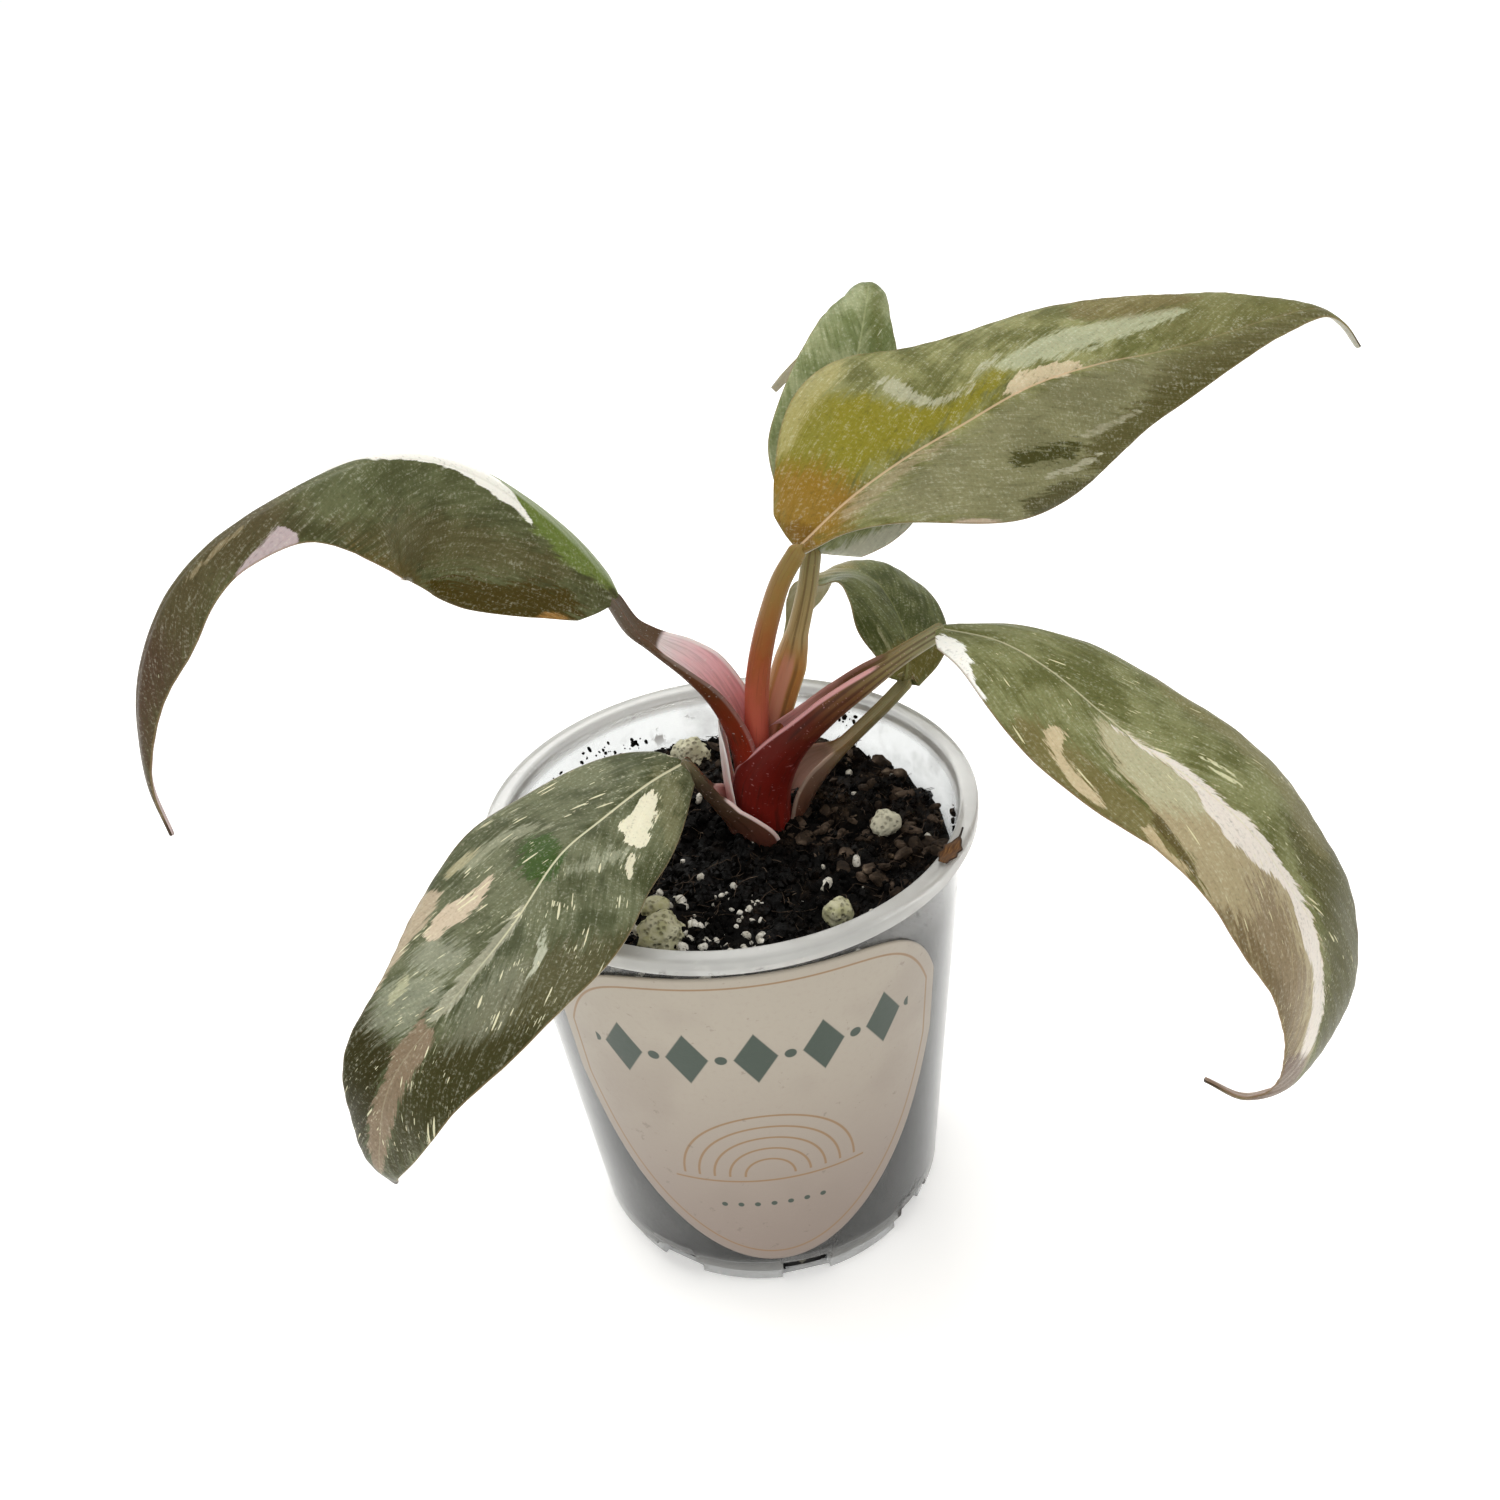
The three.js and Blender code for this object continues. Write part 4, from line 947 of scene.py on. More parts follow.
def stalk_mesh(stalk):
    """Points, faces and facts of a stalk: rings that run over its outside and back over its inside."""
    table = list(zip(*stalk["sections"]))
    shares = np.linspace(0, 1, STALK_RINGS)
    places, directions, length = route(stalk["line"], shares)
    azimuth = math.radians(stalk["back"])
    back = square_to(np.tile([math.cos(azimuth), math.sin(azimuth), 0], (STALK_RINGS, 1)), directions)
    side = np.cross(directions, back)
    radius, half, wall, solid = (smooth_value(table[0], table[k], shares)[:, None] for k in (1, 2, 3, 4))
    half = np.radians(half)
    spread = np.linspace(-1, 1, ARC_STEPS + 1)[None, :]
    angle = half * spread
    inner_radius = radius - wall * (1 - EDGE_THINNING * spread ** 2)
    rod_rise = radius * (np.cos(half) + FLAT_RISE + GROOVE_DEPTH * (1 - spread ** 2))
    outer_a, outer_b = radius * np.sin(angle), radius * np.cos(angle)
    inner_a = (1 - solid) * inner_radius * np.sin(angle)
    inner_a = inner_a + solid * FLAT_SHARE * radius * np.sin(half) * spread
    inner_b = (1 - solid) * inner_radius * np.cos(angle) + solid * rod_rise
    round_a = (outer_a + inner_a) / 2 + EDGE_ROUNDING * wall * np.cos(half) * np.sign(spread) * (1 - solid)
    round_b = (outer_b + inner_b) / 2 - EDGE_ROUNDING * wall * np.sin(half) * (1 - solid)
    a = np.hstack([outer_a, round_a[:, -1:], inner_a[:, ::-1], round_a[:, :1]])
    b = np.hstack([outer_b, round_b[:, -1:], inner_b[:, ::-1], round_b[:, :1]])
    centre = places + back * (ROD_RADIUS - radius)
    rings = centre[:, None] + side[:, None] * a[..., None] + back[:, None] * b[..., None]
    middle = rings[-1].mean(axis=0)
    turns = np.linspace(0, math.pi / 2, END_RINGS + 1)[1:]
    flare = rings[-1] - middle
    ahead = directions[-1] * radius[-1]
    dome = [middle + flare * math.cos(t) + ahead * math.sin(t) for t in turns]
    rings = np.concatenate([rings, dome])
    count = rings.shape[1]
    distance = (1 - np.abs(spread)) * half * radius
    facts = {
        "share": np.repeat(shares, count),
        "inside": np.tile(np.concatenate([spread[0] * 0, [0.5], spread[0] * 0 + 1, [0.5]]), STALK_RINGS),
        "edge": np.hstack([distance, half * 0, distance[:, ::-1], half * 0]).ravel(),
        "round": np.hstack([angle, half, angle[:, ::-1], -half]).ravel(),
        "open": np.repeat(1 - solid.ravel(), count),
        "height": np.repeat(shares * length, count),
    }
    for name, fact in facts.items():
        facts[name] = np.concatenate([fact, np.tile(fact[-count:], END_RINGS)])
    total = len(rings)
    faces = []
    for j in range(total - 1):
        for i in range(count):
            here, there = j * count + i, j * count + (i + 1) % count
            faces.append((here, there, there + count, here + count))
    faces.append(tuple(range(count - 1, -1, -1)))
    faces.append(tuple(range((total - 1) * count, total * count)))
    return rings.reshape(-1, 3) * MM, faces, facts


def waxy_stalk(name, stalk, seed):
    """Waxy skin with fine lengthwise fibres, its colour running from the crown to the blade."""
    finish = Finish("stalk_skin_" + name)
    share = finish.attribute("share")
    height = finish.attribute("height")
    opening = finish.attribute("open")
    around = finish.attribute("round")

    def stripe(turn, start, end, core, rim):
        """A soft line along the skin at an angle from the back, between two shares of the length."""
        line = 1 - (around - turn).size().rise(core, rim)
        return line * share.rise(start - 0.04, start + 0.04) * (1 - share.rise(end - 0.04, end + 0.04))

    fibres = finish.grain(finish.vector(around * 6, height * 0.12, seed), 1.2, 4, 0.65)
    blotches = finish.grain(finish.vector(around * 1.2, height * 0.3, seed), 1.1, 2)
    wander = share + (blotches - 0.5) * 0.16
    skin = finish.ramp(wander, stalk["skin"])
    skin = finish.mix(fibres.rise(0.52, 0.7) * 0.55, skin, tint(stalk["line_tone"]))
    lining = finish.ramp(wander, stalk["inside"])
    lining = finish.mix(fibres.rise(0.4, 0.65) * 0.25, lining, skin)
    inner = finish.attribute("inside").rise(0.4, 0.6) * opening.rise(0.2, 0.6)
    colour = finish.mix(inner, skin, lining)
    if "band" in stalk:
        paint, *reach = stalk["band"]
        colour = finish.mix(stripe(*reach, 0.25, 0.5) * 0.7, colour, tint(paint))
    for reach in stalk.get("grooves", []):
        colour = finish.mix(stripe(*reach, 0.04, 0.16) * 0.6, colour, tint(stalk["line_tone"]))
    rim = (1 - finish.attribute("edge").rise(0.08, 0.35)) * opening.rise(0.3, 0.8)
    colour = finish.mix(rim * around.rise(-0.2, 0.2, *stalk["pale"]), colour, tint(stalk["edge"]))
    specks = finish.grain(finish.vector(around * 2, height, seed + 3), 3.0, 2).rise(0.66, 0.72)
    colour = finish.mix(specks * 0.35, colour, tint(stalk["edge"]))
    bump = finish.bump(fibres + blotches * 0.5, 0.1 * MM, 0.5)
    return finish.shade(Base_Color=colour, Roughness=fibres * 0.2 + 0.3, Specular_IOR_Level=0.2,
                        Subsurface_Weight=0.12, Subsurface_Scale=0.8 * MM, Normal=bump)


for seed, (name, stalk) in enumerate(STALKS.items()):
    points, faces, facts = stalk_mesh(stalk)
    piece = add_object("petiole_" + name, points, faces, waxy_stalk(name, stalk, seed * 7.3), facts)
    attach(piece, "root")
    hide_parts("stalk_" + name.split("_")[0])


# Leaf blades. Thin leathery sheets folded along the midrib, with a keel below it and fine veins that
# run out to the edge. They are green or brown above, streaked and patched with cream, pink and olive,
# and some of their pale patches are painted sheen.
BLADE_ROWS = 210
HALF_COLUMNS = 27
COLUMN_CROWDING = 1.45
END_CROWDING = 0.11
WIDTH_STATIONS = [0, 0.06, 0.2, 0.4, 0.45, 0.5, 0.6, 0.7, 0.8, 0.92, 1]
TILT_STATIONS = [0, 0.2, 0.4, 0.6, 0.8, 1]
CURL = [-15, -18, -20, -20, -10, 0]
BASE_LOBE = 2.5
LOBE_START = 0.04
LOBE_REACH = 0.3
EASING = 0.035
EDGE_WAVE = 0.18
EDGE_WAVES = 2.5
FOLD_WIDTH = 0.6
HALF_THICKNESS = 0.3
HALF_EDGE = 0.1
KEEL_DEPTH = 1.0
FURROW_DEPTH = 0.2
VEIN_SPACING = 4.8
VEIN_SLANT = 2.0
VEIN_SWEEP = 0.35
VEIN_RELIEF = 0.03
BUCKLE = 0.1

# Midribs and half widths are in mm, tilts in degrees above level, with the left half on the left when
# looking from the stalk to the tip. The flecks number adds to how many spots have a fleck, and the rib
# number is how far the midrib's own colour shows. A patch is a colour, its strength, softness and
# raggedness in mm, and its outline as shares of the half width (negative on the left) and of the
# midrib's length. Its corners are rounded off.
LEAVES = {
    "left": {
        "heading": 187,
        "midrib": [
            (-10.5, 5, 89.5), (-14.5, 4.5, 96.5), (-18.5, 3.5, 102.5), (-22.5, 1.8, 107.6),
            (-26.9, -0.4, 111.3), (-30.6, -3.2, 113.5), (-34.2, -6.5, 114.8), (-38.2, -9.6, 114.8),
            (-42.2, -12, 114), (-46, -13.8, 112.8), (-50.2, -15, 110.6), (-54.8, -16, 106.6),
            (-58.2, -16.8, 101.6), (-60.5, -17.4, 96.3), (-61.7, -18, 90.8), (-62.2, -18.5, 85.2),
            (-61.4, -19, 79.2),
        ],
        "left": {
            "widths": [1, 7, 14.5, 12.9, 12.9, 5.6, 5, 6.2, 3.7, 1.2, 0.5],
            "tilts": [-65, -76, -60, -38, -50, -30],
        },
        "right": {
            "widths": [1, 5.2, 10.6, 12, 11, 9, 6, 3.8, 2.2, 1.2, 0.5],
            "tilts": [10, -17, -33, -20, -5, 0],
        },
        "ground": ("#444427", "#626544"), "midrib_tone": "#817f54", "under": "#c8b6b3", "flecks": -0.22,
        "fleck_tone": "#b9b89a", "rib": 0.12,
        "patches": {
            "upper_green": ("#565b3c", 0.5, 2.5, 3.0, [
                (-0.45, 0.5), (-0.35, 0.27), (-0.2, 0.12), (1.1, 0.1), (1.1, 0.5)]),
            "mid_brown": ("#585132", 0.7, 1.6, 4.0, [
                (-0.48, 0.4), (-0.38, 0.27), (-0.27, 0.19), (-0.19, 0.1), (-0.3, 0.06), (-0.6, 0.16),
                (-0.81, 0.27), (-1.1, 0.44), (-0.6, 0.5)]),
            "near_brown": ("#43370a", 0.95, 0.7, 3.0, [
                (-0.92, 0.27), (-0.79, 0.21), (-0.64, 0.15), (-0.5, 0.1), (-0.44, 0.06), (-1.1, 0.02),
                (-1.1, 0.24)]),
            "near_edge": ("#5b4e28", 0.75, 0.8, 2.0, [
                (-1.1, 0.2), (-0.93, 0.26), (-0.84, 0.4), (-0.8, 0.48), (-1.1, 0.48)]),
            "orange": ("#a77c43", 0.8, 0.3, 1.0, [
                (-0.86, 0.055), (-1.1, 0.05), (-1.1, 0.085), (-0.9, 0.08)]),
            "bend_brown": ("#524930", 0.85, 2.5, 4.0, [
                (-1.1, 0.54), (-0.1, 0.5), (1.1, 0.52), (1.1, 1.02), (-1.1, 1.02)]),
            "tip_red": ("#493527", 0.85, 4.0, 3.0, [
                (-1.2, 0.72), (1.2, 0.72), (1.2, 1.05), (-1.2, 1.05)]),
            "streak": ("#8e8163", 0.7, 0.15, 0.8, [
                (-0.1, 0.56), (-0.21, 0.57), (-0.3, 0.59), (-0.3, 0.63), (-0.22, 0.66), (-0.18, 0.65),
                (-0.18, 0.62), (-0.15, 0.59)]),
            "pink_curl": ("#b7a7a8", 0.95, 0.12, 0.4, [
                (-0.5, 0.535), (-0.75, 0.525), (-1.1, 0.525), (-1.1, 0.61), (-0.97, 0.6), (-0.86, 0.58),
                (-0.74, 0.56), (-0.6, 0.545)]),
            "lit_green": ("#657535", 0.9, 0.5, 1.5, [
                (-0.09, 0.16), (0.0, 0.19), (0.1, 0.21), (0.3, 0.24), (1.1, 0.26), (1.1, 0.02),
                (0.5, 0.0), (-0.08, 0.03), (-0.18, 0.08), (-0.13, 0.12)]),
            "white_wedge": ("#eceae1", 1.0, 0.1, 0.4, [
                (-0.1, 0.153), (-0.088, 0.157), (-0.06, 0.18), (-0.07, 0.21), (-0.06, 0.24),
                (-0.03, 0.28), (-0.02, 0.32), (-0.01, 0.36), (0.01, 0.4), (0.13, 0.43), (1.1, 0.45),
                (1.1, 0.225), (0.3, 0.215), (0.1, 0.208), (0.0, 0.188), (-0.03, 0.17), (-0.085, 0.154)]),
        },
    },
    "top": {
        "heading": 35,
        "midrib": [
            (11.5, -1, 96.5), (17.5, 3, 99.5), (24.5, 8, 101.5), (32.5, 13, 103), (42, 19, 104.5),
            (52, 25, 104), (60, 29, 103), (68, 33, 102.5), (76.5, 37, 102.5), (84.5, 40, 102),
            (88, 41, 99.5), (90.5, 41, 96),
        ],
        "left": {
            "widths": [1, 8, 17, 13.5, 13.8, 14, 14, 12.2, 8.5, 1.2, 0.5],
            "tilts": [10, 25, 15, 15, 15, 5],
        },
        "right": {
            "widths": [1, 2.5, 11.5, 14.5, 13.4, 11.5, 8, 5.5, 3.5, 1.2, 0.5],
            "tilts": [-15, -30, -60, -45, -25, -25],
        },
        "ground": ("#5f6032", "#868657"), "midrib_tone": "#c9ad8b", "under": "#b0aea0", "flecks": -0.3,
        "fleck_tone": "#b9b494", "rib": 0.75,
        "patches": {
            "lower_half": ("#7b785a", 0.7, 1.2, 2.5, [(0.03, 0.1), (1.2, 0.1), (1.2, 1.0), (0.0, 1.0)]),
            "far_olive": ("#636036", 0.6, 3.0, 4.0, [
                (-1.1, 0.66), (1.1, 0.6), (1.1, 1.02), (-1.1, 1.02)]),
            "tip_dark": ("#504a27", 0.75, 1.8, 3.0, [
                (0.25, 0.59), (0.25, 0.68), (0.1, 0.85), (-0.4, 0.92), (1.1, 1.02), (1.1, 0.58),
                (0.74, 0.57)]),
            "yellow": ("#7a7420", 0.9, 1.4, 3.0, [
                (-1.1, 0.14), (-0.69, 0.2), (-0.4, 0.23), (-0.21, 0.27), (-0.17, 0.31), (-0.31, 0.36),
                (-0.29, 0.4), (-0.14, 0.38), (-0.04, 0.33), (-0.05, 0.24), (-0.05, 0.15), (-0.1, 0.08),
                (-1.1, 0.05)]),
            "deep_yellow": ("#7f7714", 0.6, 1.0, 2.5, [
                (-0.12, 0.13), (-0.2, 0.17), (-0.05, 0.19), (-0.06, 0.26), (-0.1, 0.34), (-0.27, 0.38),
                (-0.38, 0.37), (-0.28, 0.32), (-0.27, 0.27), (-0.38, 0.22), (-0.62, 0.2), (-0.7, 0.18),
                (-0.51, 0.14), (-0.27, 0.12)]),
            "amber": ("#85641c", 0.9, 2.2, 3.0, [
                (-1.2, 0.08), (-0.8, 0.09), (-0.4, 0.115), (-0.07, 0.11), (0.2, 0.1), (0.7, 0.07),
                (1.2, 0.05), (1.2, -0.05), (-1.2, -0.05)]),
            "shoulder": ("#a29a64", 0.7, 1.0, 2.0, [
                (-1.1, 0.09), (-0.84, 0.1), (-0.76, 0.15), (-0.82, 0.22), (-1.1, 0.24)]),
            "base_rim": ("#654713", 0.8, 0.9, 2.0, [
                (-1.2, 0.03), (-0.5, 0.035), (0.0, 0.035), (1.2, 0.02), (1.2, -0.05), (-1.2, -0.05)]),
            # Painted sheen: two pale patches that stand for the soft reflection on the leaf's wax.
            "bloom_near": ("#aaa98f", 0.75, 0.35, 1.6, [
                (-0.61, 0.23), (-0.67, 0.26), (-0.53, 0.265), (-0.38, 0.27), (-0.27, 0.29),
                (-0.28, 0.33), (-0.47, 0.38), (-0.5, 0.42), (-0.36, 0.37), (-0.2, 0.31), (-0.22, 0.27),
                (-0.34, 0.25), (-0.48, 0.235)]),
            "bloom_far": ("#abae8f", 0.75, 0.6, 2.0, [
                (-0.46, 0.41), (-0.45, 0.46), (-0.56, 0.52), (-0.55, 0.6), (-0.62, 0.7), (-0.53, 0.74),
                (-0.33, 0.64), (-0.21, 0.55), (-0.17, 0.47), (-0.22, 0.41), (-0.34, 0.38)]),
            "rib_pale": ("#998b6e", 0.6, 0.5, 1.5, [
                (0.13, 0.07), (0.1, 0.1), (0.04, 0.17), (0.02, 0.24), (0.05, 0.27), (0.12, 0.22),
                (0.17, 0.16), (0.44, 0.11), (0.6, 0.08)]),
            "pinkish": ("#bfb090", 0.95, 0.15, 1.0, [
                (-0.02, 0.35), (-0.18, 0.39), (-0.17, 0.43), (-0.1, 0.49), (0.02, 0.5), (0.01, 0.43),
                (0.0, 0.38)]),
            "edge_brown": ("#6e6036", 0.65, 1.0, 2.5, [
                (-0.72, 0.54), (-1.1, 0.6), (-1.1, 0.74), (-0.76, 0.78), (-0.54, 0.67), (-0.54, 0.57)]),
            "dark_first": ("#3b3a11", 0.92, 0.5, 2.5, [
                (0.43, 0.31), (0.44, 0.35), (0.54, 0.4), (0.62, 0.45), (0.68, 0.43), (0.68, 0.39),
                (0.61, 0.33), (0.52, 0.3)]),
            "dark_second": ("#44401f", 0.85, 0.6, 2.5, [
                (0.81, 0.29), (0.81, 0.34), (0.84, 0.38), (0.9, 0.44), (1.1, 0.47), (1.1, 0.31),
                (0.94, 0.28)]),
            "dark_third": ("#504b26", 0.85, 0.9, 3.0, [
                (0.69, 0.43), (0.66, 0.5), (0.62, 0.58), (0.68, 0.66), (0.7, 0.74), (1.1, 0.8),
                (1.1, 0.45)]),
            # Painted sheen: two pale strokes beside the dark patches that stand for soft reflections.
            "stroke_low": ("#a8a58c", 0.75, 0.12, 0.7, [
                (0.71, 0.34), (0.74, 0.39), (0.78, 0.44), (0.86, 0.48), (0.84, 0.44), (0.79, 0.39),
                (0.76, 0.35)]),
            "stroke_high": ("#9a967b", 0.7, 0.15, 0.8, [
                (0.55, 0.43), (0.6, 0.48), (0.68, 0.53), (0.76, 0.57), (0.72, 0.51), (0.64, 0.46)]),
            "pale_edge": ("#c0ab97", 0.8, 0.3, 0.6, [
                (1.1, 0.16), (1.1, 0.25), (0.95, 0.24), (0.93, 0.18)]),
        },
    },
    "right": {
        "heading": -32,
        "midrib": [
            (27, -2, 84.5), (33.5, -6, 84), (38.5, -10.5, 82), (43, -15.5, 79), (47.5, -20, 76),
            (52.5, -24, 73), (57, -28, 69), (60.5, -31, 63.5), (63, -33, 58.5), (64, -34, 52),
            (64, -34.5, 46), (63, -34, 39.5), (61, -33, 35), (57, -32, 33.5), (52.5, -31, 36),
        ],
        "left": {
            "widths": [1, 3.5, 12, 15, 14.9, 14.5, 12.5, 10.6, 8, 1.4, 0.5],
            "tilts": [-10, -5, -5, 0, 15, 15],
        },
        "right": {
            "widths": [1, 6, 12, 13.5, 13.5, 13.5, 12.5, 9.6, 6, 2.2, 0.5],
            "tilts": [5, -5, 0, -5, -20, -60],
        },
        "ground": ("#5c5e33", "#7c7e54"), "midrib_tone": "#d2ccab", "under": "#aa927f", "flecks": 0.05,
        "fleck_tone": "#d2cca4", "rib": 0.55,
        "patches": {
            "far_olive": ("#4c4921", 0.9, 1.2, 3.0, [
                (-0.3, 0.52), (-0.18, 0.6), (-0.1, 0.7), (-0.02, 0.82), (-0.3, 0.95), (-1.1, 0.95),
                (-1.1, 0.5), (-0.6, 0.5)]),
            "outer_brown": ("#6f683e", 0.7, 0.9, 3.0, [
                (-1.1, 0.2), (-0.75, 0.28), (-0.72, 0.39), (-0.66, 0.47), (-0.5, 0.55), (-0.8, 0.6),
                (-1.1, 0.55)]),
            "inner_edge": ("#6f643b", 0.75, 0.8, 2.5, [
                (0.6, 0.2), (1.1, 0.2), (1.1, 0.62), (0.86, 0.5), (0.62, 0.35)]),
            "stroke_e": ("#cfcda6", 0.85, 0.1, 0.4, [
                (-0.25, 0.51), (-0.29, 0.545), (-0.34, 0.57), (-0.3, 0.53)]),
            "stroke_d": ("#cfcda6", 0.85, 0.1, 0.4, [
                (-0.83, 0.45), (-0.9, 0.475), (-1.0, 0.505), (-0.93, 0.465)]),
            "stroke_c": ("#cfcda6", 0.85, 0.1, 0.4, [
                (-0.47, 0.385), (-0.53, 0.405), (-0.6, 0.43), (-0.55, 0.4)]),
            "stroke_b": ("#cfcda6", 0.85, 0.1, 0.4, [
                (-0.19, 0.38), (-0.27, 0.425), (-0.37, 0.46), (-0.31, 0.42), (-0.25, 0.39)]),
            "stroke_a": ("#cfcda6", 0.85, 0.1, 0.4, [
                (-0.24, 0.365), (-0.3, 0.395), (-0.34, 0.42), (-0.41, 0.45), (-0.37, 0.415),
                (-0.3, 0.375)]),
            "beige": ("#a69877", 0.92, 0.35, 2.0, [
                (0.09, 0.25), (0.0, 0.28), (-0.04, 0.34), (-0.05, 0.42), (-0.07, 0.5), (-0.05, 0.6),
                (0.0, 0.7), (0.1, 0.8), (0.2, 0.9), (1.1, 0.92), (1.1, 0.5), (0.9, 0.46), (0.8, 0.43),
                (0.73, 0.38), (0.56, 0.33), (0.36, 0.28), (0.23, 0.26)]),
            "green_beige": ("#adab8b", 0.8, 1.5, 3.0, [
                (0.1, 0.25), (0.0, 0.28), (-0.05, 0.36), (0.1, 0.42), (0.4, 0.42), (0.62, 0.38),
                (0.5, 0.32), (0.3, 0.27)]),
            "rosy": ("#7a684e", 0.75, 0.9, 6.0, [
                (0.3, 0.5), (0.2, 0.55), (0.3, 0.58), (0.45, 0.62), (0.45, 0.67), (0.6, 0.71),
                (0.7, 0.79), (0.6, 0.95), (1.1, 0.95), (1.1, 0.53), (0.86, 0.53), (0.6, 0.53)]),
            "rosy_edge": ("#5f4f30", 0.6, 0.8, 3.0, [
                (0.95, 0.5), (0.8, 0.56), (0.82, 0.66), (0.9, 0.8), (1.1, 0.85), (1.1, 0.5)]),
            "white_band": ("#dcd4ca", 0.95, 0.2, 1.0, [
                (0.09, 0.25), (0.02, 0.28), (-0.03, 0.32), (-0.07, 0.37), (-0.05, 0.42), (-0.07, 0.47),
                (-0.08, 0.52), (-0.07, 0.58), (0.0, 0.64), (-0.02, 0.7), (0.0, 0.75), (0.1, 0.79),
                (0.3, 0.81), (0.54, 0.82), (0.6, 0.78), (0.5, 0.74), (0.3, 0.7), (0.26, 0.66),
                (0.36, 0.62), (0.3, 0.6), (0.12, 0.57), (0.09, 0.55), (0.2, 0.52), (0.3, 0.5),
                (0.31, 0.48), (0.36, 0.46), (0.3, 0.43), (0.21, 0.41), (0.08, 0.385), (0.02, 0.35),
                (0.06, 0.3)]),
            "dark_wedge": ("#554a27", 0.9, 0.2, 1.2, [
                (0.7, 0.36), (0.86, 0.4), (0.9, 0.44), (0.96, 0.467), (0.86, 0.45), (0.78, 0.41),
                (0.68, 0.37)]),
            "pink_first": ("#beae8c", 0.95, 0.15, 0.9, [
                (0.77, 0.23), (0.61, 0.225), (0.55, 0.235), (0.59, 0.25), (0.7, 0.25), (0.78, 0.27),
                (0.81, 0.3), (0.85, 0.32), (0.94, 0.335), (0.95, 0.315), (0.95, 0.3), (0.89, 0.27),
                (0.84, 0.26), (0.79, 0.24)]),
            "pink_second": ("#b7a682", 0.9, 0.15, 0.9, [
                (0.84, 0.37), (0.86, 0.39), (0.92, 0.41), (0.95, 0.43), (0.93, 0.45), (1.0, 0.46),
                (1.04, 0.43), (1.0, 0.4), (0.95, 0.38)]),
            "white_base": ("#eeede6", 1.0, 0.12, 0.7, [
                (0.42, 0.045), (0.6, 0.02), (1.1, 0.01), (1.1, 0.18), (0.97, 0.15), (0.9, 0.11),
                (0.72, 0.09)]),
            "rosy_tip": ("#6b584d", 0.85, 0.7, 1.5, [
                (1.2, 0.76), (0.6, 0.78), (0.3, 0.8), (0.1, 0.84), (-0.3, 0.92), (-1.1, 0.94),
                (-1.1, 1.05), (1.2, 1.05)]),
        },
    },
    "front": {
        "heading": 230,
        "midrib": [
            (-5, 0, 68.5), (-9, -5, 69.5), (-15, -12, 69.5), (-19.5, -18, 69.5), (-25, -27, 67),
            (-31.5, -35, 64), (-37.5, -40, 60), (-39.5, -41.5, 57), (-41, -42, 52), (-42, -41.5, 47),
            (-41.5, -40, 43.5),
        ],
        "left": {
            "widths": [1, 4, 9.5, 12.5, 12.8, 12.8, 12, 10.2, 7.8, 3.2, 0.5],
            "tilts": [-45, -20, -10, 0, 0, -10],
        },
        "right": {
            "widths": [1, 5.5, 11.5, 14.8, 14.7, 14.2, 12.3, 9.8, 7, 3.8, 0.6],
            "tilts": [15, 0, -5, -5, 0, -5],
        },
        "ground": ("#474c30", "#6a6e52"), "midrib_tone": "#cfccac", "under": "#c6beae", "flecks": 0.16,
        "fleck_tone": "#dedab8", "rib": 0.95,
        "patches": {
            "base_specked": ("#838261", 0.6, 1.0, 3.0, [
                (0.32, 0.05), (-0.46, 0.05), (-0.98, 0.12), (-1.1, 0.18), (-0.82, 0.2), (-0.37, 0.12)]),
            "near_brown": ("#4d482a", 0.8, 2.0, 4.0, [
                (-0.33, 0.5), (-0.83, 0.45), (-1.1, 0.4), (-1.1, 0.6), (-0.9, 0.64), (-0.6, 0.7),
                (-0.3, 0.72)]),
            "tip_dark": ("#393619", 0.9, 1.2, 3.0, [
                (-0.15, 0.7), (-0.52, 0.63), (-1.1, 0.58), (-1.1, 0.8), (-0.7, 1.02), (-0.28, 1.02),
                (-0.26, 0.84), (-0.22, 0.75)]),
            "tip_left": ("#322e13", 0.95, 1.0, 3.0, [
                (1.1, 0.68), (0.81, 0.71), (0.41, 0.72), (0.1, 0.73), (0.13, 0.78), (0.22, 0.84),
                (0.4, 0.9), (0.5, 1.02), (1.1, 1.02)]),
            "lit_green": ("#39521f", 0.92, 0.35, 2.5, [
                (0.39, 0.33), (0.32, 0.29), (0.08, 0.3), (-0.1, 0.34), (-0.05, 0.39), (0.14, 0.39)]),
            # Painted sheen: pale grey patches that stand for the soft reflection on the leaf's wax.
            "bloom_first": ("#a0a48e", 0.5, 1.4, 4.0, [
                (0.92, 0.7), (0.75, 0.63), (0.34, 0.59), (0.05, 0.62), (0.05, 0.68), (0.37, 0.73),
                (0.75, 0.73)]),
            "bloom_second": ("#8d907a", 0.42, 1.6, 4.0, [
                (-0.08, 0.63), (-0.17, 0.54), (-0.48, 0.51), (-0.67, 0.59), (-0.63, 0.66),
                (-0.33, 0.68)]),
            "bloom_third": ("#a0a38a", 0.65, 0.9, 3.0, [
                (-0.15, 0.37), (-0.33, 0.29), (-0.58, 0.22), (-0.57, 0.29), (-0.35, 0.33)]),
            "bloom_upper": ("#a2a590", 0.5, 1.0, 3.0, [
                (0.2, 0.53), (0.5, 0.54), (0.7, 0.56), (0.76, 0.6), (0.45, 0.61), (0.15, 0.58)]),
            # Painted sheen: a pale band that stands for a soft reflection above the green patch.
            "pale_band": ("#9fa187", 0.55, 0.6, 2.0, [
                (0.87, 0.39), (0.7, 0.33), (0.5, 0.28), (0.22, 0.27), (0.4, 0.3), (0.53, 0.34),
                (0.64, 0.39)]),
            "edge_pink": ("#b8a890", 0.85, 0.3, 1.5, [
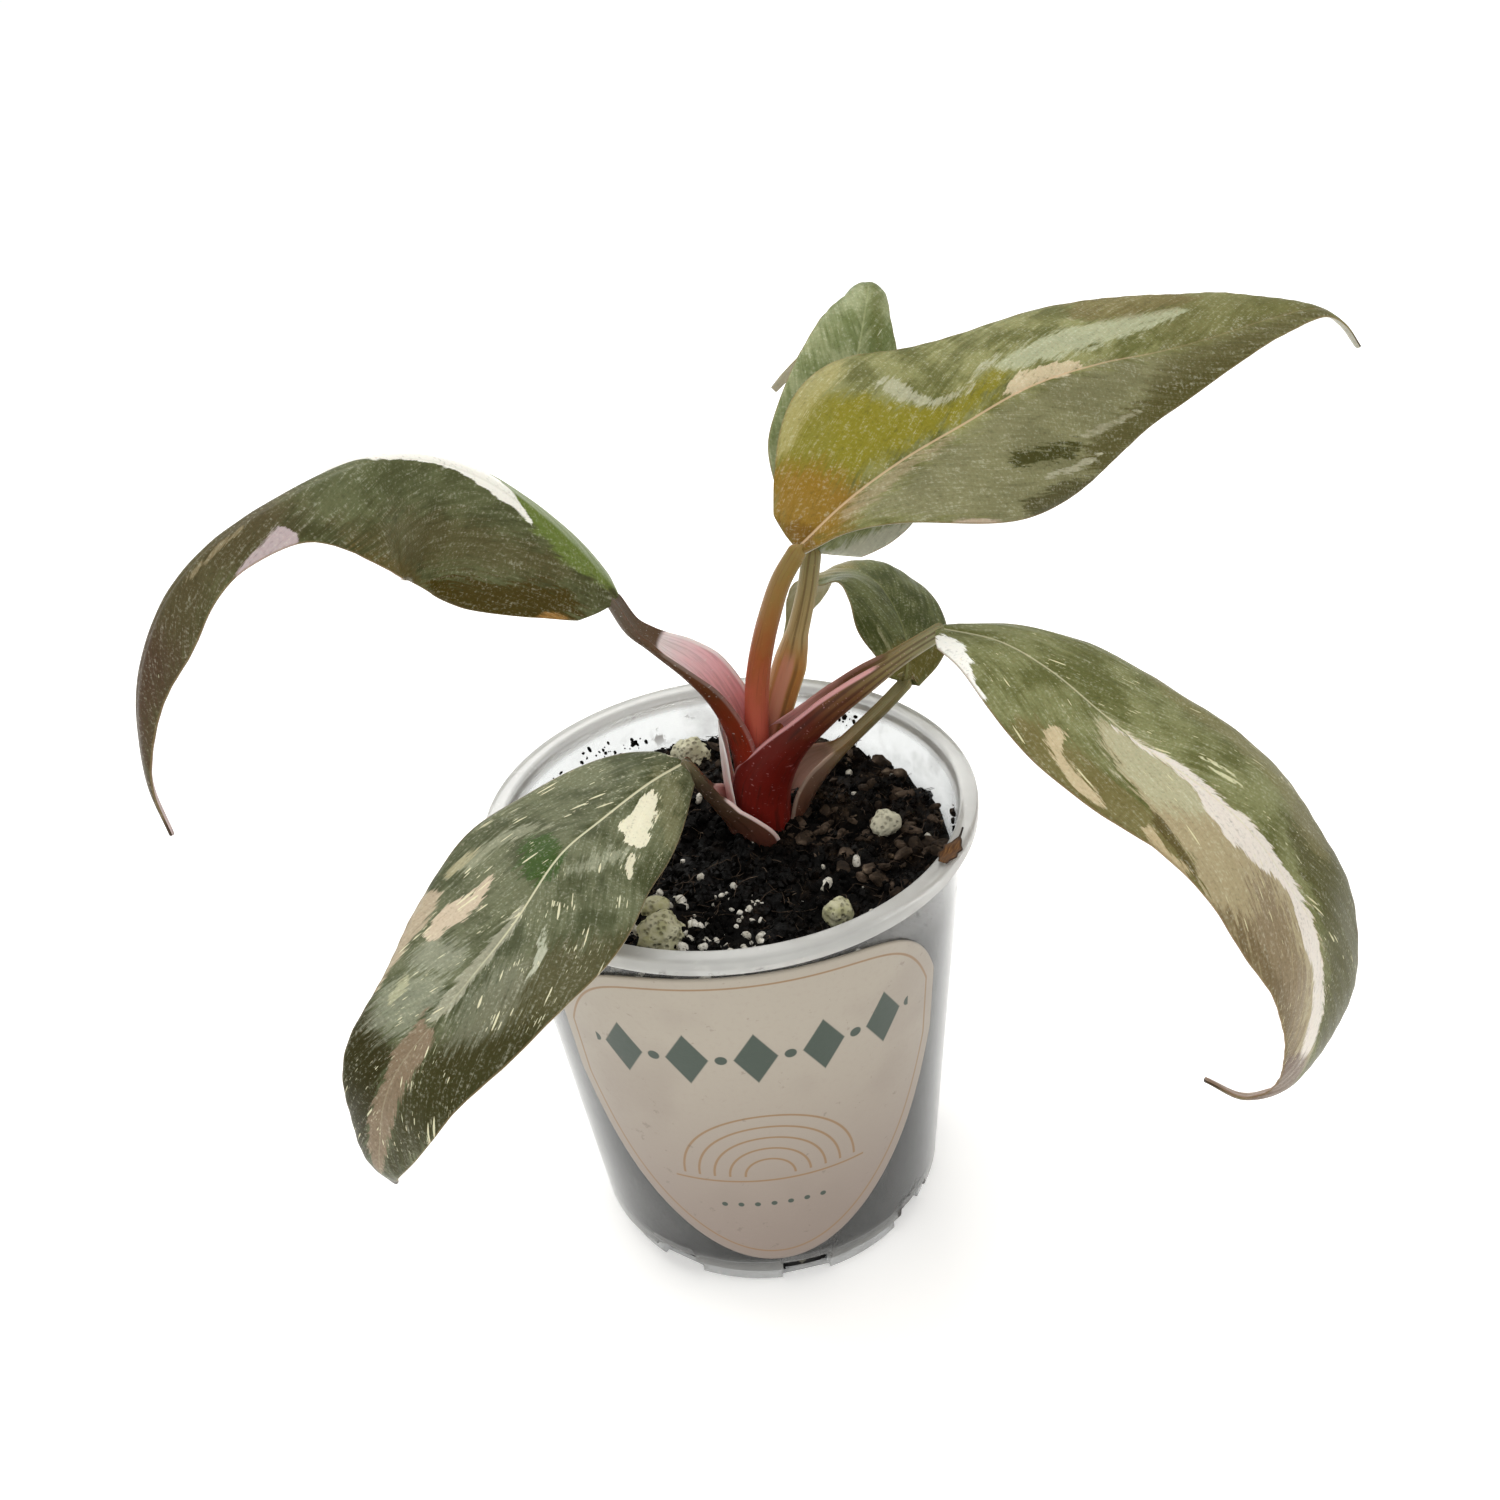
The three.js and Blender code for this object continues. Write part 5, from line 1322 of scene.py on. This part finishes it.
                (0.79, 0.43), (1.1, 0.45), (1.1, 0.72), (0.95, 0.66), (0.9, 0.6), (0.83, 0.54),
                (0.78, 0.49)]),
            "olive_cream": ("#a6a07e", 0.8, 0.3, 1.2, [
                (0.93, 0.4), (0.79, 0.35), (0.71, 0.34), (0.72, 0.37), (0.82, 0.41)]),
            "pink": ("#c4b49c", 1.0, 0.1, 1.1, [
                (0.41, 0.38), (0.47, 0.41), (0.52, 0.44), (0.58, 0.45), (0.68, 0.47), (0.72, 0.49),
                (0.71, 0.51), (0.74, 0.54), (0.66, 0.55), (0.54, 0.54), (0.54, 0.51), (0.41, 0.5),
                (0.42, 0.47), (0.36, 0.46), (0.38, 0.42)]),
            "tip_stripe": ("#85745f", 0.95, 0.2, 1.2, [
                (0.15, 0.64), (0.17, 0.66), (0.07, 0.68), (-0.11, 0.67), (-0.19, 0.7), (-0.24, 0.74),
                (-0.27, 0.78), (-0.26, 0.84), (-0.2, 0.95), (0.35, 0.96), (0.33, 0.91), (0.33, 0.85),
                (0.18, 0.81), (0.14, 0.78), (0.15, 0.75), (0.22, 0.73), (0.14, 0.7), (0.21, 0.67)]),
            "rib_white": ("#aaa993", 0.7, 0.2, 1.0, [
                (0.05, 0.42), (-0.05, 0.46), (-0.04, 0.56), (-0.1, 0.64), (0.1, 0.68), (0.12, 0.6),
                (0.06, 0.5)]),
            "bracket": ("#b9bca6", 0.8, 0.12, 0.6, [
                (-0.28, 0.45), (-0.4, 0.48), (-0.51, 0.505), (-0.55, 0.565), (-0.47, 0.535),
                (-0.42, 0.505), (-0.32, 0.475)]),
            "pale_spot": ("#b0b08f", 0.7, 0.2, 1.0, [
                (0.76, 0.65), (0.62, 0.61), (0.55, 0.66), (0.66, 0.7)]),
            "cream": ("#e3dfc5", 1.0, 0.08, 0.9, [
                (-0.14, 0.1), (-0.18, 0.16), (-0.21, 0.18), (-0.2, 0.2), (-0.26, 0.22), (-0.36, 0.22),
                (-0.45, 0.24), (-0.55, 0.235), (-0.65, 0.23), (-0.65, 0.21), (-0.57, 0.18),
                (-0.45, 0.14), (-0.31, 0.11)]),
            "cream_tail": ("#ddd8bc", 0.95, 0.08, 0.6, [
                (-0.54, 0.245), (-0.66, 0.25), (-0.83, 0.33), (-0.66, 0.29)]),
        },
    },
    "back": {
        "heading": 88,
        "midrib": [
            (13.5, 8, 91.5), (16, 15, 96), (19, 22, 101), (22, 28, 107), (24, 33, 111.5),
            (25, 37.5, 113), (24.5, 42, 111.5), (22, 45.5, 107), (18, 47.5, 102), (14.5, 48.5, 98.5),
            (12.2, 48, 96.5),
        ],
        "left": {
            "widths": [1, 4.5, 8.5, 7.2, 6.4, 5.5, 3.4, 2.4, 1.8, 0.9, 0.5],
            "tilts": [55, 25, 5, -25, -50, -40],
        },
        "right": {
            "widths": [1, 8, 12.5, 7.4, 6, 4.6, 2.6, 2, 1.8, 0.9, 0.5],
            "tilts": [-5, -20, -35, -35, -15, 0],
        },
        "ground": ("#697346", "#8e946c"), "midrib_tone": "#adb184", "under": "#aca691", "flecks": -0.15,
        "fleck_tone": "#b9bb9c", "rib": 0.4,
        "patches": {
            "dark_edge": ("#5f6535", 0.7, 0.8, 2.0, [
                (0.0, 0.66), (0.44, 0.63), (0.62, 0.53), (0.44, 0.43), (0.18, 0.48), (-0.05, 0.55)]),
            "pale_lobe": ("#c1c1b1", 0.9, 0.6, 1.2, [
                (0.5, -0.02), (0.59, 0.07), (0.9, 0.13), (1.15, 0.14), (1.15, -0.02)]),
            "brown_end": ("#897a43", 0.6, 1.6, 2.0, [
                (-1.1, 0.72), (1.1, 0.72), (1.1, 1.02), (-1.1, 1.02)]),
        },
    },
    "middle": {
        "heading": 100,
        "midrib": [
            (24.5, 14, 68.5), (25.5, 19, 70), (25, 25, 72), (23, 31, 74), (19.5, 36, 74), (16, 39, 72),
            (13.5, 40.5, 68.5), (11.5, 41, 64), (10, 41, 60.5),
        ],
        "left": {
            "widths": [1, 3, 7.5, 7, 6.8, 6.5, 6, 4.6, 3, 1, 0.5],
            "tilts": [10, 25, 30, -10, -15, -15],
        },
        "right": {
            "widths": [1, 2.5, 6.5, 8, 7.2, 6, 4, 4.6, 5.5, 1.2, 0.5],
            "tilts": [-15, -20, -25, 10, 25, 15],
        },
        "ground": ("#454b26", "#666b44"), "midrib_tone": "#8d9062", "under": "#88805c", "flecks": -0.15,
        "fleck_tone": "#aeb090", "rib": 0.4,
        "patches": {
            "olive_base": ("#615929", 0.85, 0.8, 1.6, [
                (-0.7, 0.1), (-0.15, 0.16), (0.51, 0.14), (0.93, 0.2), (1.1, 0.1), (0.5, -0.02),
                (-1.1, -0.02), (-1.1, 0.08)]),
            "pale_stripe": ("#a09e7b", 0.7, 0.4, 1.0, [
                (-0.61, 0.21), (-0.5, 0.15), (-0.42, 0.08), (-0.54, 0.1)]),
            "far_olive": ("#897e50", 0.7, 1.6, 2.0, [
                (-1.1, 0.55), (1.1, 0.55), (1.1, 1.02), (-1.1, 1.02)]),
        },
    },
}


def softened(outline):
    """A closed outline with its corners cut twice."""
    ring = np.asarray(outline, float)
    for _ in range(2):
        after = np.roll(ring, -1, axis=0)
        ring = np.stack([0.75 * ring + 0.25 * after, 0.25 * ring + 0.75 * after], axis=1).reshape(-1, 2)
    return ring


def depth_inside(ring, spots):
    """Distance of each spot to a closed outline, positive inside it."""
    start, span = ring, np.roll(ring, -1, axis=0) - ring
    offset = spots[:, None] - start
    share = np.clip(np.sum(offset * span, axis=2) / np.sum(span * span, axis=1), 0, 1)
    gap = np.linalg.norm(offset - share[..., None] * span, axis=2).min(axis=1)
    beside = (start[:, 1] > spots[:, 1:]) != (start[:, 1] + span[:, 1] > spots[:, 1:])
    crossing = start[:, 0] + offset[..., 1] * span[:, 0] / np.where(span[:, 1] == 0, 1, span[:, 1])
    inside = np.sum(beside & (spots[:, :1] < crossing), axis=1) % 2 == 1
    return np.where(inside, gap, -gap)


def eased_value(stations, values, shares):
    """Smooth values averaged over a short reach, so that no corner shows at a station."""
    reach = EASING * np.minimum(1, np.minimum(shares / 0.1, (1 - shares) / 0.06))
    spots = shares[:, None] + reach[:, None] * np.linspace(-1, 1, 9)
    return smooth_value(stations, values, spots.ravel()).reshape(spots.shape).mean(axis=1)[:, None]


def half_blade(leaf, side, shares, frame_axes, reach):
    """Points of one half of a blade, from the midrib out, with its half width in mm at each row."""
    origins, along, across, up = frame_axes
    half = leaf["left" if side < 0 else "right"]
    width = eased_value(WIDTH_STATIONS, half["widths"], shares)
    tilts = [eased_value(TILT_STATIONS, leaf[name]["tilts"], shares) for name in ("left", "right")]
    tilt = tilts[0] if side < 0 else tilts[1]
    curl = eased_value(TILT_STATIONS, CURL, shares)
    middle = (reach[1:] + reach[:-1]) / 2
    fold = np.exp(-(middle * width / FOLD_WIDTH) ** 2)
    slant = (1 - fold) * (tilt + curl * (middle - 0.5))
    angle = np.radians(slant + fold * side * (tilts[1] - tilts[0]) / 2)
    step = np.diff(reach) * width
    out = np.pad(np.cumsum(np.cos(angle) * step, axis=1), ((0, 0), (1, 0)))
    rise = np.pad(np.cumsum(np.sin(angle) * step, axis=1), ((0, 0), (1, 0)))
    v = shares[:, None]
    lobe = BASE_LOBE * np.maximum(0, 1 - v / LOBE_REACH) ** 1.5 * np.minimum(1, v / LOBE_START)
    phase = 2 * math.pi * (EDGE_WAVES * v + 0.3 * side)
    wave = EDGE_WAVE * np.sin(math.pi * v) * np.sin(phase) * reach ** 2
    aside = side * across[:, None] * out[..., None]
    points = origins[:, None] + aside + up[:, None] * (rise + wave)[..., None]
    return points - along[:, None] * (lobe * np.sin(reach * math.pi / 2))[..., None], width


def sheet_faces(rows, columns):
    """Faces of a closed sheet of two grids of points: its upper side, its lower side and its edge."""
    count = rows * columns
    at = np.arange(count).reshape(rows, columns)
    a, b, c, d = at[:-1, :-1].ravel(), at[:-1, 1:].ravel(), at[1:, 1:].ravel(), at[1:, :-1].ravel()
    rim = np.concatenate([at[0, :-1], at[:-1, -1], at[-1, :0:-1], at[:0:-1, 0]])
    ahead = np.roll(rim, -1)
    under = list(zip(count + a, count + d, count + c, count + b))
    return list(zip(a, b, c, d)) + under + list(zip(rim, count + rim, count + ahead, ahead))


def square_off(grid):
    """Unit normals of a grid of points."""
    normal = np.cross(np.gradient(grid, axis=1), np.gradient(grid, axis=0))
    return normal / np.linalg.norm(normal, axis=2)[..., None]


def blade_mesh(leaf, seed):
    """Points, faces, facts and length of a blade, as a closed sheet with its upper face first."""
    even = np.linspace(0, 1, BLADE_ROWS)
    shares = even - END_CROWDING * np.sin(2 * math.pi * even)
    origins, along, length = route(leaf["midrib"], shares)
    azimuth = math.radians(leaf["heading"])
    across = square_to(np.tile([math.sin(azimuth), -math.cos(azimuth), 0], (BLADE_ROWS, 1)), along)
    frame_axes = (origins, along, across, np.cross(across, along))
    reach = np.linspace(0, 1, HALF_COLUMNS + 1) ** COLUMN_CROWDING
    left, left_width = half_blade(leaf, -1, shares, frame_axes, reach)
    right, right_width = half_blade(leaf, 1, shares, frame_axes, reach)
    middle = np.concatenate([left[:, :0:-1], right], axis=1)
    spread = np.concatenate([-reach[:0:-1], reach])
    width = np.where(spread < 0, left_width, right_width)
    away = np.abs(spread) * width
    v = shares[:, None]
    vein = v * length - VEIN_SLANT * away - VEIN_SWEEP * width * np.abs(spread) ** 3
    clear_of_rib = 1 - np.exp(-(away / 1.6) ** 2)
    relief = VEIN_RELIEF * np.cos(2 * math.pi * vein / VEIN_SPACING) * clear_of_rib
    ripple = np.sin(vein / 4.9 + seed) * np.cos(spread * 2.2 + seed * 1.7)
    slow = ripple + 0.6 * np.sin(vein / 2.9 - seed * 2.3 + spread)
    relief = relief + BUCKLE * slow * np.abs(spread) * np.sin(math.pi * np.clip(v, 0, 1)) ** 0.5
    thick = HALF_EDGE + (HALF_THICKNESS - HALF_EDGE) * (1 - np.abs(spread) ** 4)
    furrow = FURROW_DEPTH * (1 - v) * np.exp(-(away / 0.35) ** 2)
    keel = KEEL_DEPTH * (1 - v) ** 0.8 * np.exp(-(away / (0.6 + 0.4 * (1 - v))) ** 2)
    normal = square_off(middle)
    upper = middle + normal * (relief + thick - furrow)[..., None]
    lower = middle + normal * (relief - thick - keel)[..., None]
    rows, columns = middle.shape[:2]
    flat = np.stack([(spread * width).ravel(), (v * length + 0 * spread).ravel()], axis=1)
    facts = {"across": flat[:, 0], "along": flat[:, 1], "vein": vein.ravel()}
    facts["edge"] = (width - away).ravel()
    for name, (_, _, _, _, outline) in leaf["patches"].items():
        ring = softened(outline)
        at = np.clip(ring[:, 1], 0, 1)
        half = [smooth_value(WIDTH_STATIONS, leaf[side]["widths"], at) for side in ("left", "right")]
        ring = np.stack([ring[:, 0] * np.where(ring[:, 0] < 0, *half), ring[:, 1] * length], axis=1)
        facts["patch_" + name] = depth_inside(ring, flat)
    facts = {name: np.tile(fact, 2) for name, fact in facts.items()}
    facts["under"] = np.repeat([0.0, 1.0], rows * columns)
    points = np.concatenate([upper.reshape(-1, 3), lower.reshape(-1, 3)]) * MM
    return points, sheet_faces(rows, columns), facts, length


def painted_blade(name, leaf, length, seed):
    """Satin leaf skin: a clouded ground, its patches in order with some painted sheen, fine veins, pale
    flecks, midrib and edge.
    """
    finish = Finish("leaf_skin_" + name)
    across = finish.attribute("across")
    along = finish.attribute("along")
    vein = finish.attribute("vein")
    away = across.size()
    flat = finish.vector(across, along, seed)
    streaks = finish.grain(finish.vector(vein, across * 0.75, seed), 0.6, 4, 0.6)
    threads = finish.grain(finish.vector(vein, across * 0.29, seed + 5), 3.2, 3, 0.6)
    fray = finish.grain(finish.vector(vein, across * 1.15, seed + 7), 0.75, 5, 0.65)
    cloud = finish.grain(flat, 0.16, 4, 0.55)
    grit = finish.grain(flat, 2.6, 3, 0.6)
    dark, light = leaf["ground"]
    blend = (streaks * 0.3 + cloud * 0.7).rise(0.4, 0.6)
    colour = finish.mix(blend, tint(dark), tint(light))
    for patch, (paint, strength, softness, ragged, _) in leaf["patches"].items():
        depth = finish.attribute("patch_" + patch) + (fray - 0.5) * (2.6 * ragged)
        depth = depth + (threads - 0.5) * (0.5 * ragged)
        colour = finish.mix(depth.rise(-softness, softness) * strength, colour, tint(paint))
    pale = finish.mix(0.32, colour, (0.95, 0.95, 0.75, 1))
    deep = finish.mix(0.5, colour, (0.02, 0.02, 0.01, 1))
    mottle = (threads - 0.5) * 0.15 + (streaks - 0.5) * 0.12 + (grit - 0.5) * 0.28 + (fray - 0.5) * 0.14
    colour = finish.mix(mottle.rise(0, 0.12) * 0.8, colour, pale)
    colour = finish.mix((-mottle).rise(0, 0.12) * 0.85, colour, deep)
    crowd = finish.grain(flat, 0.22, 2, 0.5).rise(0.42, 0.62, 0.02, 0.6) + leaf["flecks"]
    dashes = finish.strokes(finish.vector(vein, across * 0.55, seed + 2), 0.9, crowd, 0.5, threads)
    dots = finish.strokes(finish.vector(vein, across * 1.35, seed + 4), 1.1, crowd, 0.4, grit)
    dust = finish.strokes(finish.vector(vein, across * 1.1, seed + 6), 2.2, crowd, 0.45, grit)
    flecks = (dashes * 0.9).most(dots * 0.8).most(dust * 0.5)
    colour = finish.mix(flecks, colour, tint(leaf["fleck_tone"]))
    rib_width = 0.08 + (1 - along / length) * 0.07
    rib = (1 - (away / rib_width).rise(0.6, 1.4)) * (along / length).rise(0.42, 0.68, 1, 0.15)
    colour = finish.mix(rib * leaf["rib"], colour, tint(leaf["midrib_tone"]))
    edge = 1 - finish.attribute("edge").rise(0.05, 0.2)
    colour = finish.mix(edge * 0.5, colour, tint("#8a7856"))
    tip = (along / length).rise(0.965, 0.99)
    colour = finish.mix(tip * 0.85, colour, tint("#33241b"))
    below = finish.mix(blend * 0.3, tint(leaf["under"]), colour)
    colour = finish.mix(finish.attribute("under").rise(0.4, 0.6), colour, below)
    bump = finish.bump(threads * 0.5 + grit * 0.35 + streaks * 0.5, 0.09 * MM, 0.55)
    return finish.shade(Base_Color=colour, Roughness=streaks * 0.2 + grit * 0.08 + 0.2,
                        Specular_IOR_Level=0.07, Subsurface_Weight=0.05,
                        Subsurface_Scale=0.5 * MM, Normal=bump)


for seed, (name, leaf) in enumerate(LEAVES.items()):
    points, faces, facts, length = blade_mesh(leaf, seed * 1.9)
    skin = painted_blade(name, leaf, length, seed * 13.7)
    piece = add_object("blade_" + name, points, faces, skin, facts)
    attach(piece, "root")
    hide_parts("leaf_" + name)
    "leaf_" + name


# Sticker. A cream paper label in a rounded shield shape, wrapped round the front of the cup and lightly
# coated. Its print is plain ornament: an inset border, a row of lozenges, half rings and dots.
LABEL_HALF_WIDTH = 24.75
LABEL_TOP = 58.2
LABEL_BOTTOM = 6
LABEL_SHOULDER = 12.5
LABEL_TAPER = 30
LABEL_THICKNESS = 0.22
LABEL_GAP = 0.08
LABEL_COLUMNS = 160
LABEL_ROWS = 90
BORDER_INSET = 1.7
RING_LEVEL = 23.0
RING_RADII = [3.2, 5.2, 7.2, 9.2, 11.2]
LOZENGE_LEVEL = 44.5
LOZENGE_PITCH = 3.9
DOT_LEVEL = 17.5
DOT_PITCH = 1.1


def label_mesh():
    """Points, faces and facts of the sticker; facts are in mm on the flat paper."""
    arc = -LABEL_HALF_WIDTH * np.cos(np.linspace(0, math.pi, LABEL_COLUMNS + 1))[None, :]
    share = np.abs(arc) / LABEL_HALF_WIDTH
    upper = LABEL_TOP - LABEL_SHOULDER * (0.24 * share ** 2 + 0.76 * share ** 6)
    lower = LABEL_BOTTOM + LABEL_TAPER * (0.77 * share ** 2 + 0.23 * share ** 10)
    rise = np.linspace(0, 1, LABEL_ROWS + 1)[:, None]
    z = lower + (upper - lower) * rise
    azimuth = arc * MM / wall_radius(CUP_HEIGHT / 2) - math.pi / 2
    top_edge, low_edge = (np.stack([arc[0], edge[0]], axis=1) for edge in (upper, lower))
    ring = softened(np.concatenate([top_edge, low_edge[::-1]]))
    flat = np.stack([(arc + 0 * z).ravel(), z.ravel()], axis=1)
    inset = depth_inside(ring[::4], flat)
    sheets = []
    for lift in (LABEL_GAP + LABEL_THICKNESS, LABEL_GAP):
        radius = wall_radius(z * MM) / MM + lift
        sheet = np.stack([radius * np.cos(azimuth), radius * np.sin(azimuth), z], axis=2)
        sheets.append(sheet.reshape(-1, 3))
    facts = {"print_x": flat[:, 0], "print_z": flat[:, 1], "inset": inset}
    facts = {name: np.tile(fact, 2) for name, fact in facts.items()}
    return np.concatenate(sheets) * MM, sheet_faces(LABEL_ROWS + 1, LABEL_COLUMNS + 1), facts


def printed_paper():
    """Cream paper with its ornament in brown and dark green, stained and scuffed."""
    finish = Finish("printed_paper")
    x = finish.attribute("print_x")
    z = finish.attribute("print_z")
    inset = finish.attribute("inset")
    fibre = finish.grain(finish.vector(x, z), 1.4, 4, 0.6)
    stain = finish.grain(finish.vector(x, z, 4), 0.07, 2)
    # The paper is darker towards the bottom.
    paper_tone = finish.mix(z.rise(4, 52), tint("#86776d"), tint("#a39a8c"))
    colour = finish.mix(fibre.rise(0.5, 0.75) * 0.25, paper_tone, tint("#94877c"))
    colour = finish.mix(stain.rise(0.5, 0.7) * 0.3, colour, tint("#84776c"))

    def line(distance, half_width):
        return 1 - distance.size().rise(half_width - 0.06, half_width + 0.06)

    above = z - RING_LEVEL
    radius = ((x * x) + above * above) ** 0.5
    arcs = line(inset - BORDER_INSET, 0.14)
    for ring in RING_RADII:
        arcs = arcs.most(line(radius - ring, 0.16) * above.rise(-0.05, 0.05))
    arcs = arcs.most(line(above + 0.9, 0.16) * line(x, 12.6))
    colour = finish.mix(arcs * 0.85, colour, tint("#85643a"))
    column = x.maths("PINGPONG", LOZENGE_PITCH)
    lozenges = 1 - (column / 2.5 + (z - LOZENGE_LEVEL).size() / 4.2).rise(0.95, 1.05)
    beads = 1 - ((((column - LOZENGE_PITCH) ** 2) + (z - LOZENGE_LEVEL) ** 2) ** 0.5).rise(0.62, 0.78)
    small = x.maths("PINGPONG", DOT_PITCH)
    dots = (1 - (((small ** 2) + (z - DOT_LEVEL) ** 2) ** 0.5).rise(0.34, 0.46)) * line(x, 8.0)
    green = (lozenges.most(beads) * line(x, 19.5)).most(dots)
    colour = finish.mix(green * 0.95, colour, tint("#173124"))
    scuffs = finish.grain(finish.vector(x, z, 9), 0.5, 4, 0.7).rise(0.64, 0.7)
    colour = finish.mix(scuffs * 0.35, colour, tint("#5f5347"))
    bump = finish.bump(fibre, 0.05 * MM, 0.4)
    return finish.shade(Base_Color=colour, Roughness=fibre * 0.12 + 0.4, Coat_Weight=0.08,
                        Coat_Roughness=0.35, Normal=bump)


points, faces, facts = label_mesh()
sticker = add_object("sticker", points, faces, printed_paper(), facts)
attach(sticker, "root")
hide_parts("label")


# Dried flake. A curled scrap of old brown sheath that lies over the rim, with a thin dark tail.
FLAKE_AZIMUTH = math.radians(-31)
FLAKE_LENGTH = 6.4
FLAKE_WIDTH = 2.2
FLAKE_THICKNESS = 0.16
FLAKE_ROWS = 60
FLAKE_COLUMNS = 20


def flake_mesh():
    """Points, faces and facts of the flake: a curled shard along the rim that narrows to a raised tail."""
    share = np.linspace(-1, 1, FLAKE_ROWS)[:, None]
    along = FLAKE_LENGTH / 2 * share
    taper = np.clip(1 - np.abs(share + 0.25) ** 2.4 / 0.9, 0.1, 1)
    half = FLAKE_WIDTH / 2 * taper * (1 + 0.12 * np.sin(11 * share + 1))
    reach = half * np.linspace(-1, 1, FLAKE_COLUMNS)[None, :]
    cupped = 0.16 * reach ** 2 + 0.1 * np.sin(2.6 * reach + 1.7 * along)
    height = CUP_HEIGHT / MM + 0.35 + 0.03 * along ** 2 + cupped + 1.6 * np.clip(share - 0.35, 0, 1) ** 1.6
    radius = RIM_RADIUS / MM - 0.9 - reach
    outwards = np.array([math.cos(FLAKE_AZIMUTH), math.sin(FLAKE_AZIMUTH), 0])
    sideways = np.array([-math.sin(FLAKE_AZIMUTH), math.cos(FLAKE_AZIMUTH), 0])
    upwards = np.array([0, 0, 1])
    grid = radius[..., None] * outwards + along[..., None] * sideways + height[..., None] * upwards
    layers = [grid + square_off(grid) * FLAKE_THICKNESS * share_out for share_out in (0.5, -0.5)]
    facts = {"fibre": reach + 0 * along, "lengthwise": along + 0 * reach, "rim_gap": half - np.abs(reach)}
    facts = {name: np.tile(fact.ravel(), 2) for name, fact in facts.items()}
    points = np.concatenate([layer.reshape(-1, 3) for layer in layers]) * MM
    return points, sheet_faces(FLAKE_ROWS, FLAKE_COLUMNS), facts


def papery_brown():
    """Thin dry brown skin with lengthwise fibres, darker at its edge and along its tail."""
    finish = Finish("papery_brown")
    lengthwise = finish.attribute("lengthwise")
    fibres = finish.grain(finish.vector(finish.attribute("fibre") * 3, lengthwise * 0.4), 1.6, 4, 0.65)
    tone = finish.ramp(fibres, [(0.3, "#33200f"), (0.5, "#5f3f20"), (0.62, "#7c552c"), (0.75, "#9c7444")])
    dark_edge = 1 - finish.attribute("rim_gap").rise(0.05, 0.3)
    tone = finish.mix((dark_edge * 0.8).most(lengthwise.rise(1.2, 2.4)), tone, tint("#21150c"))
    return finish.shade(Base_Color=tone, Roughness=fibres * 0.2 + 0.5, Specular_IOR_Level=0.3,
                        Normal=finish.bump(fibres, 0.08 * MM, 0.5))


points, faces, facts = flake_mesh()
flake = add_object("sheath_flake", points, faces, papery_brown(), facts)
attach(flake, "root")
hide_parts("dried_flake")
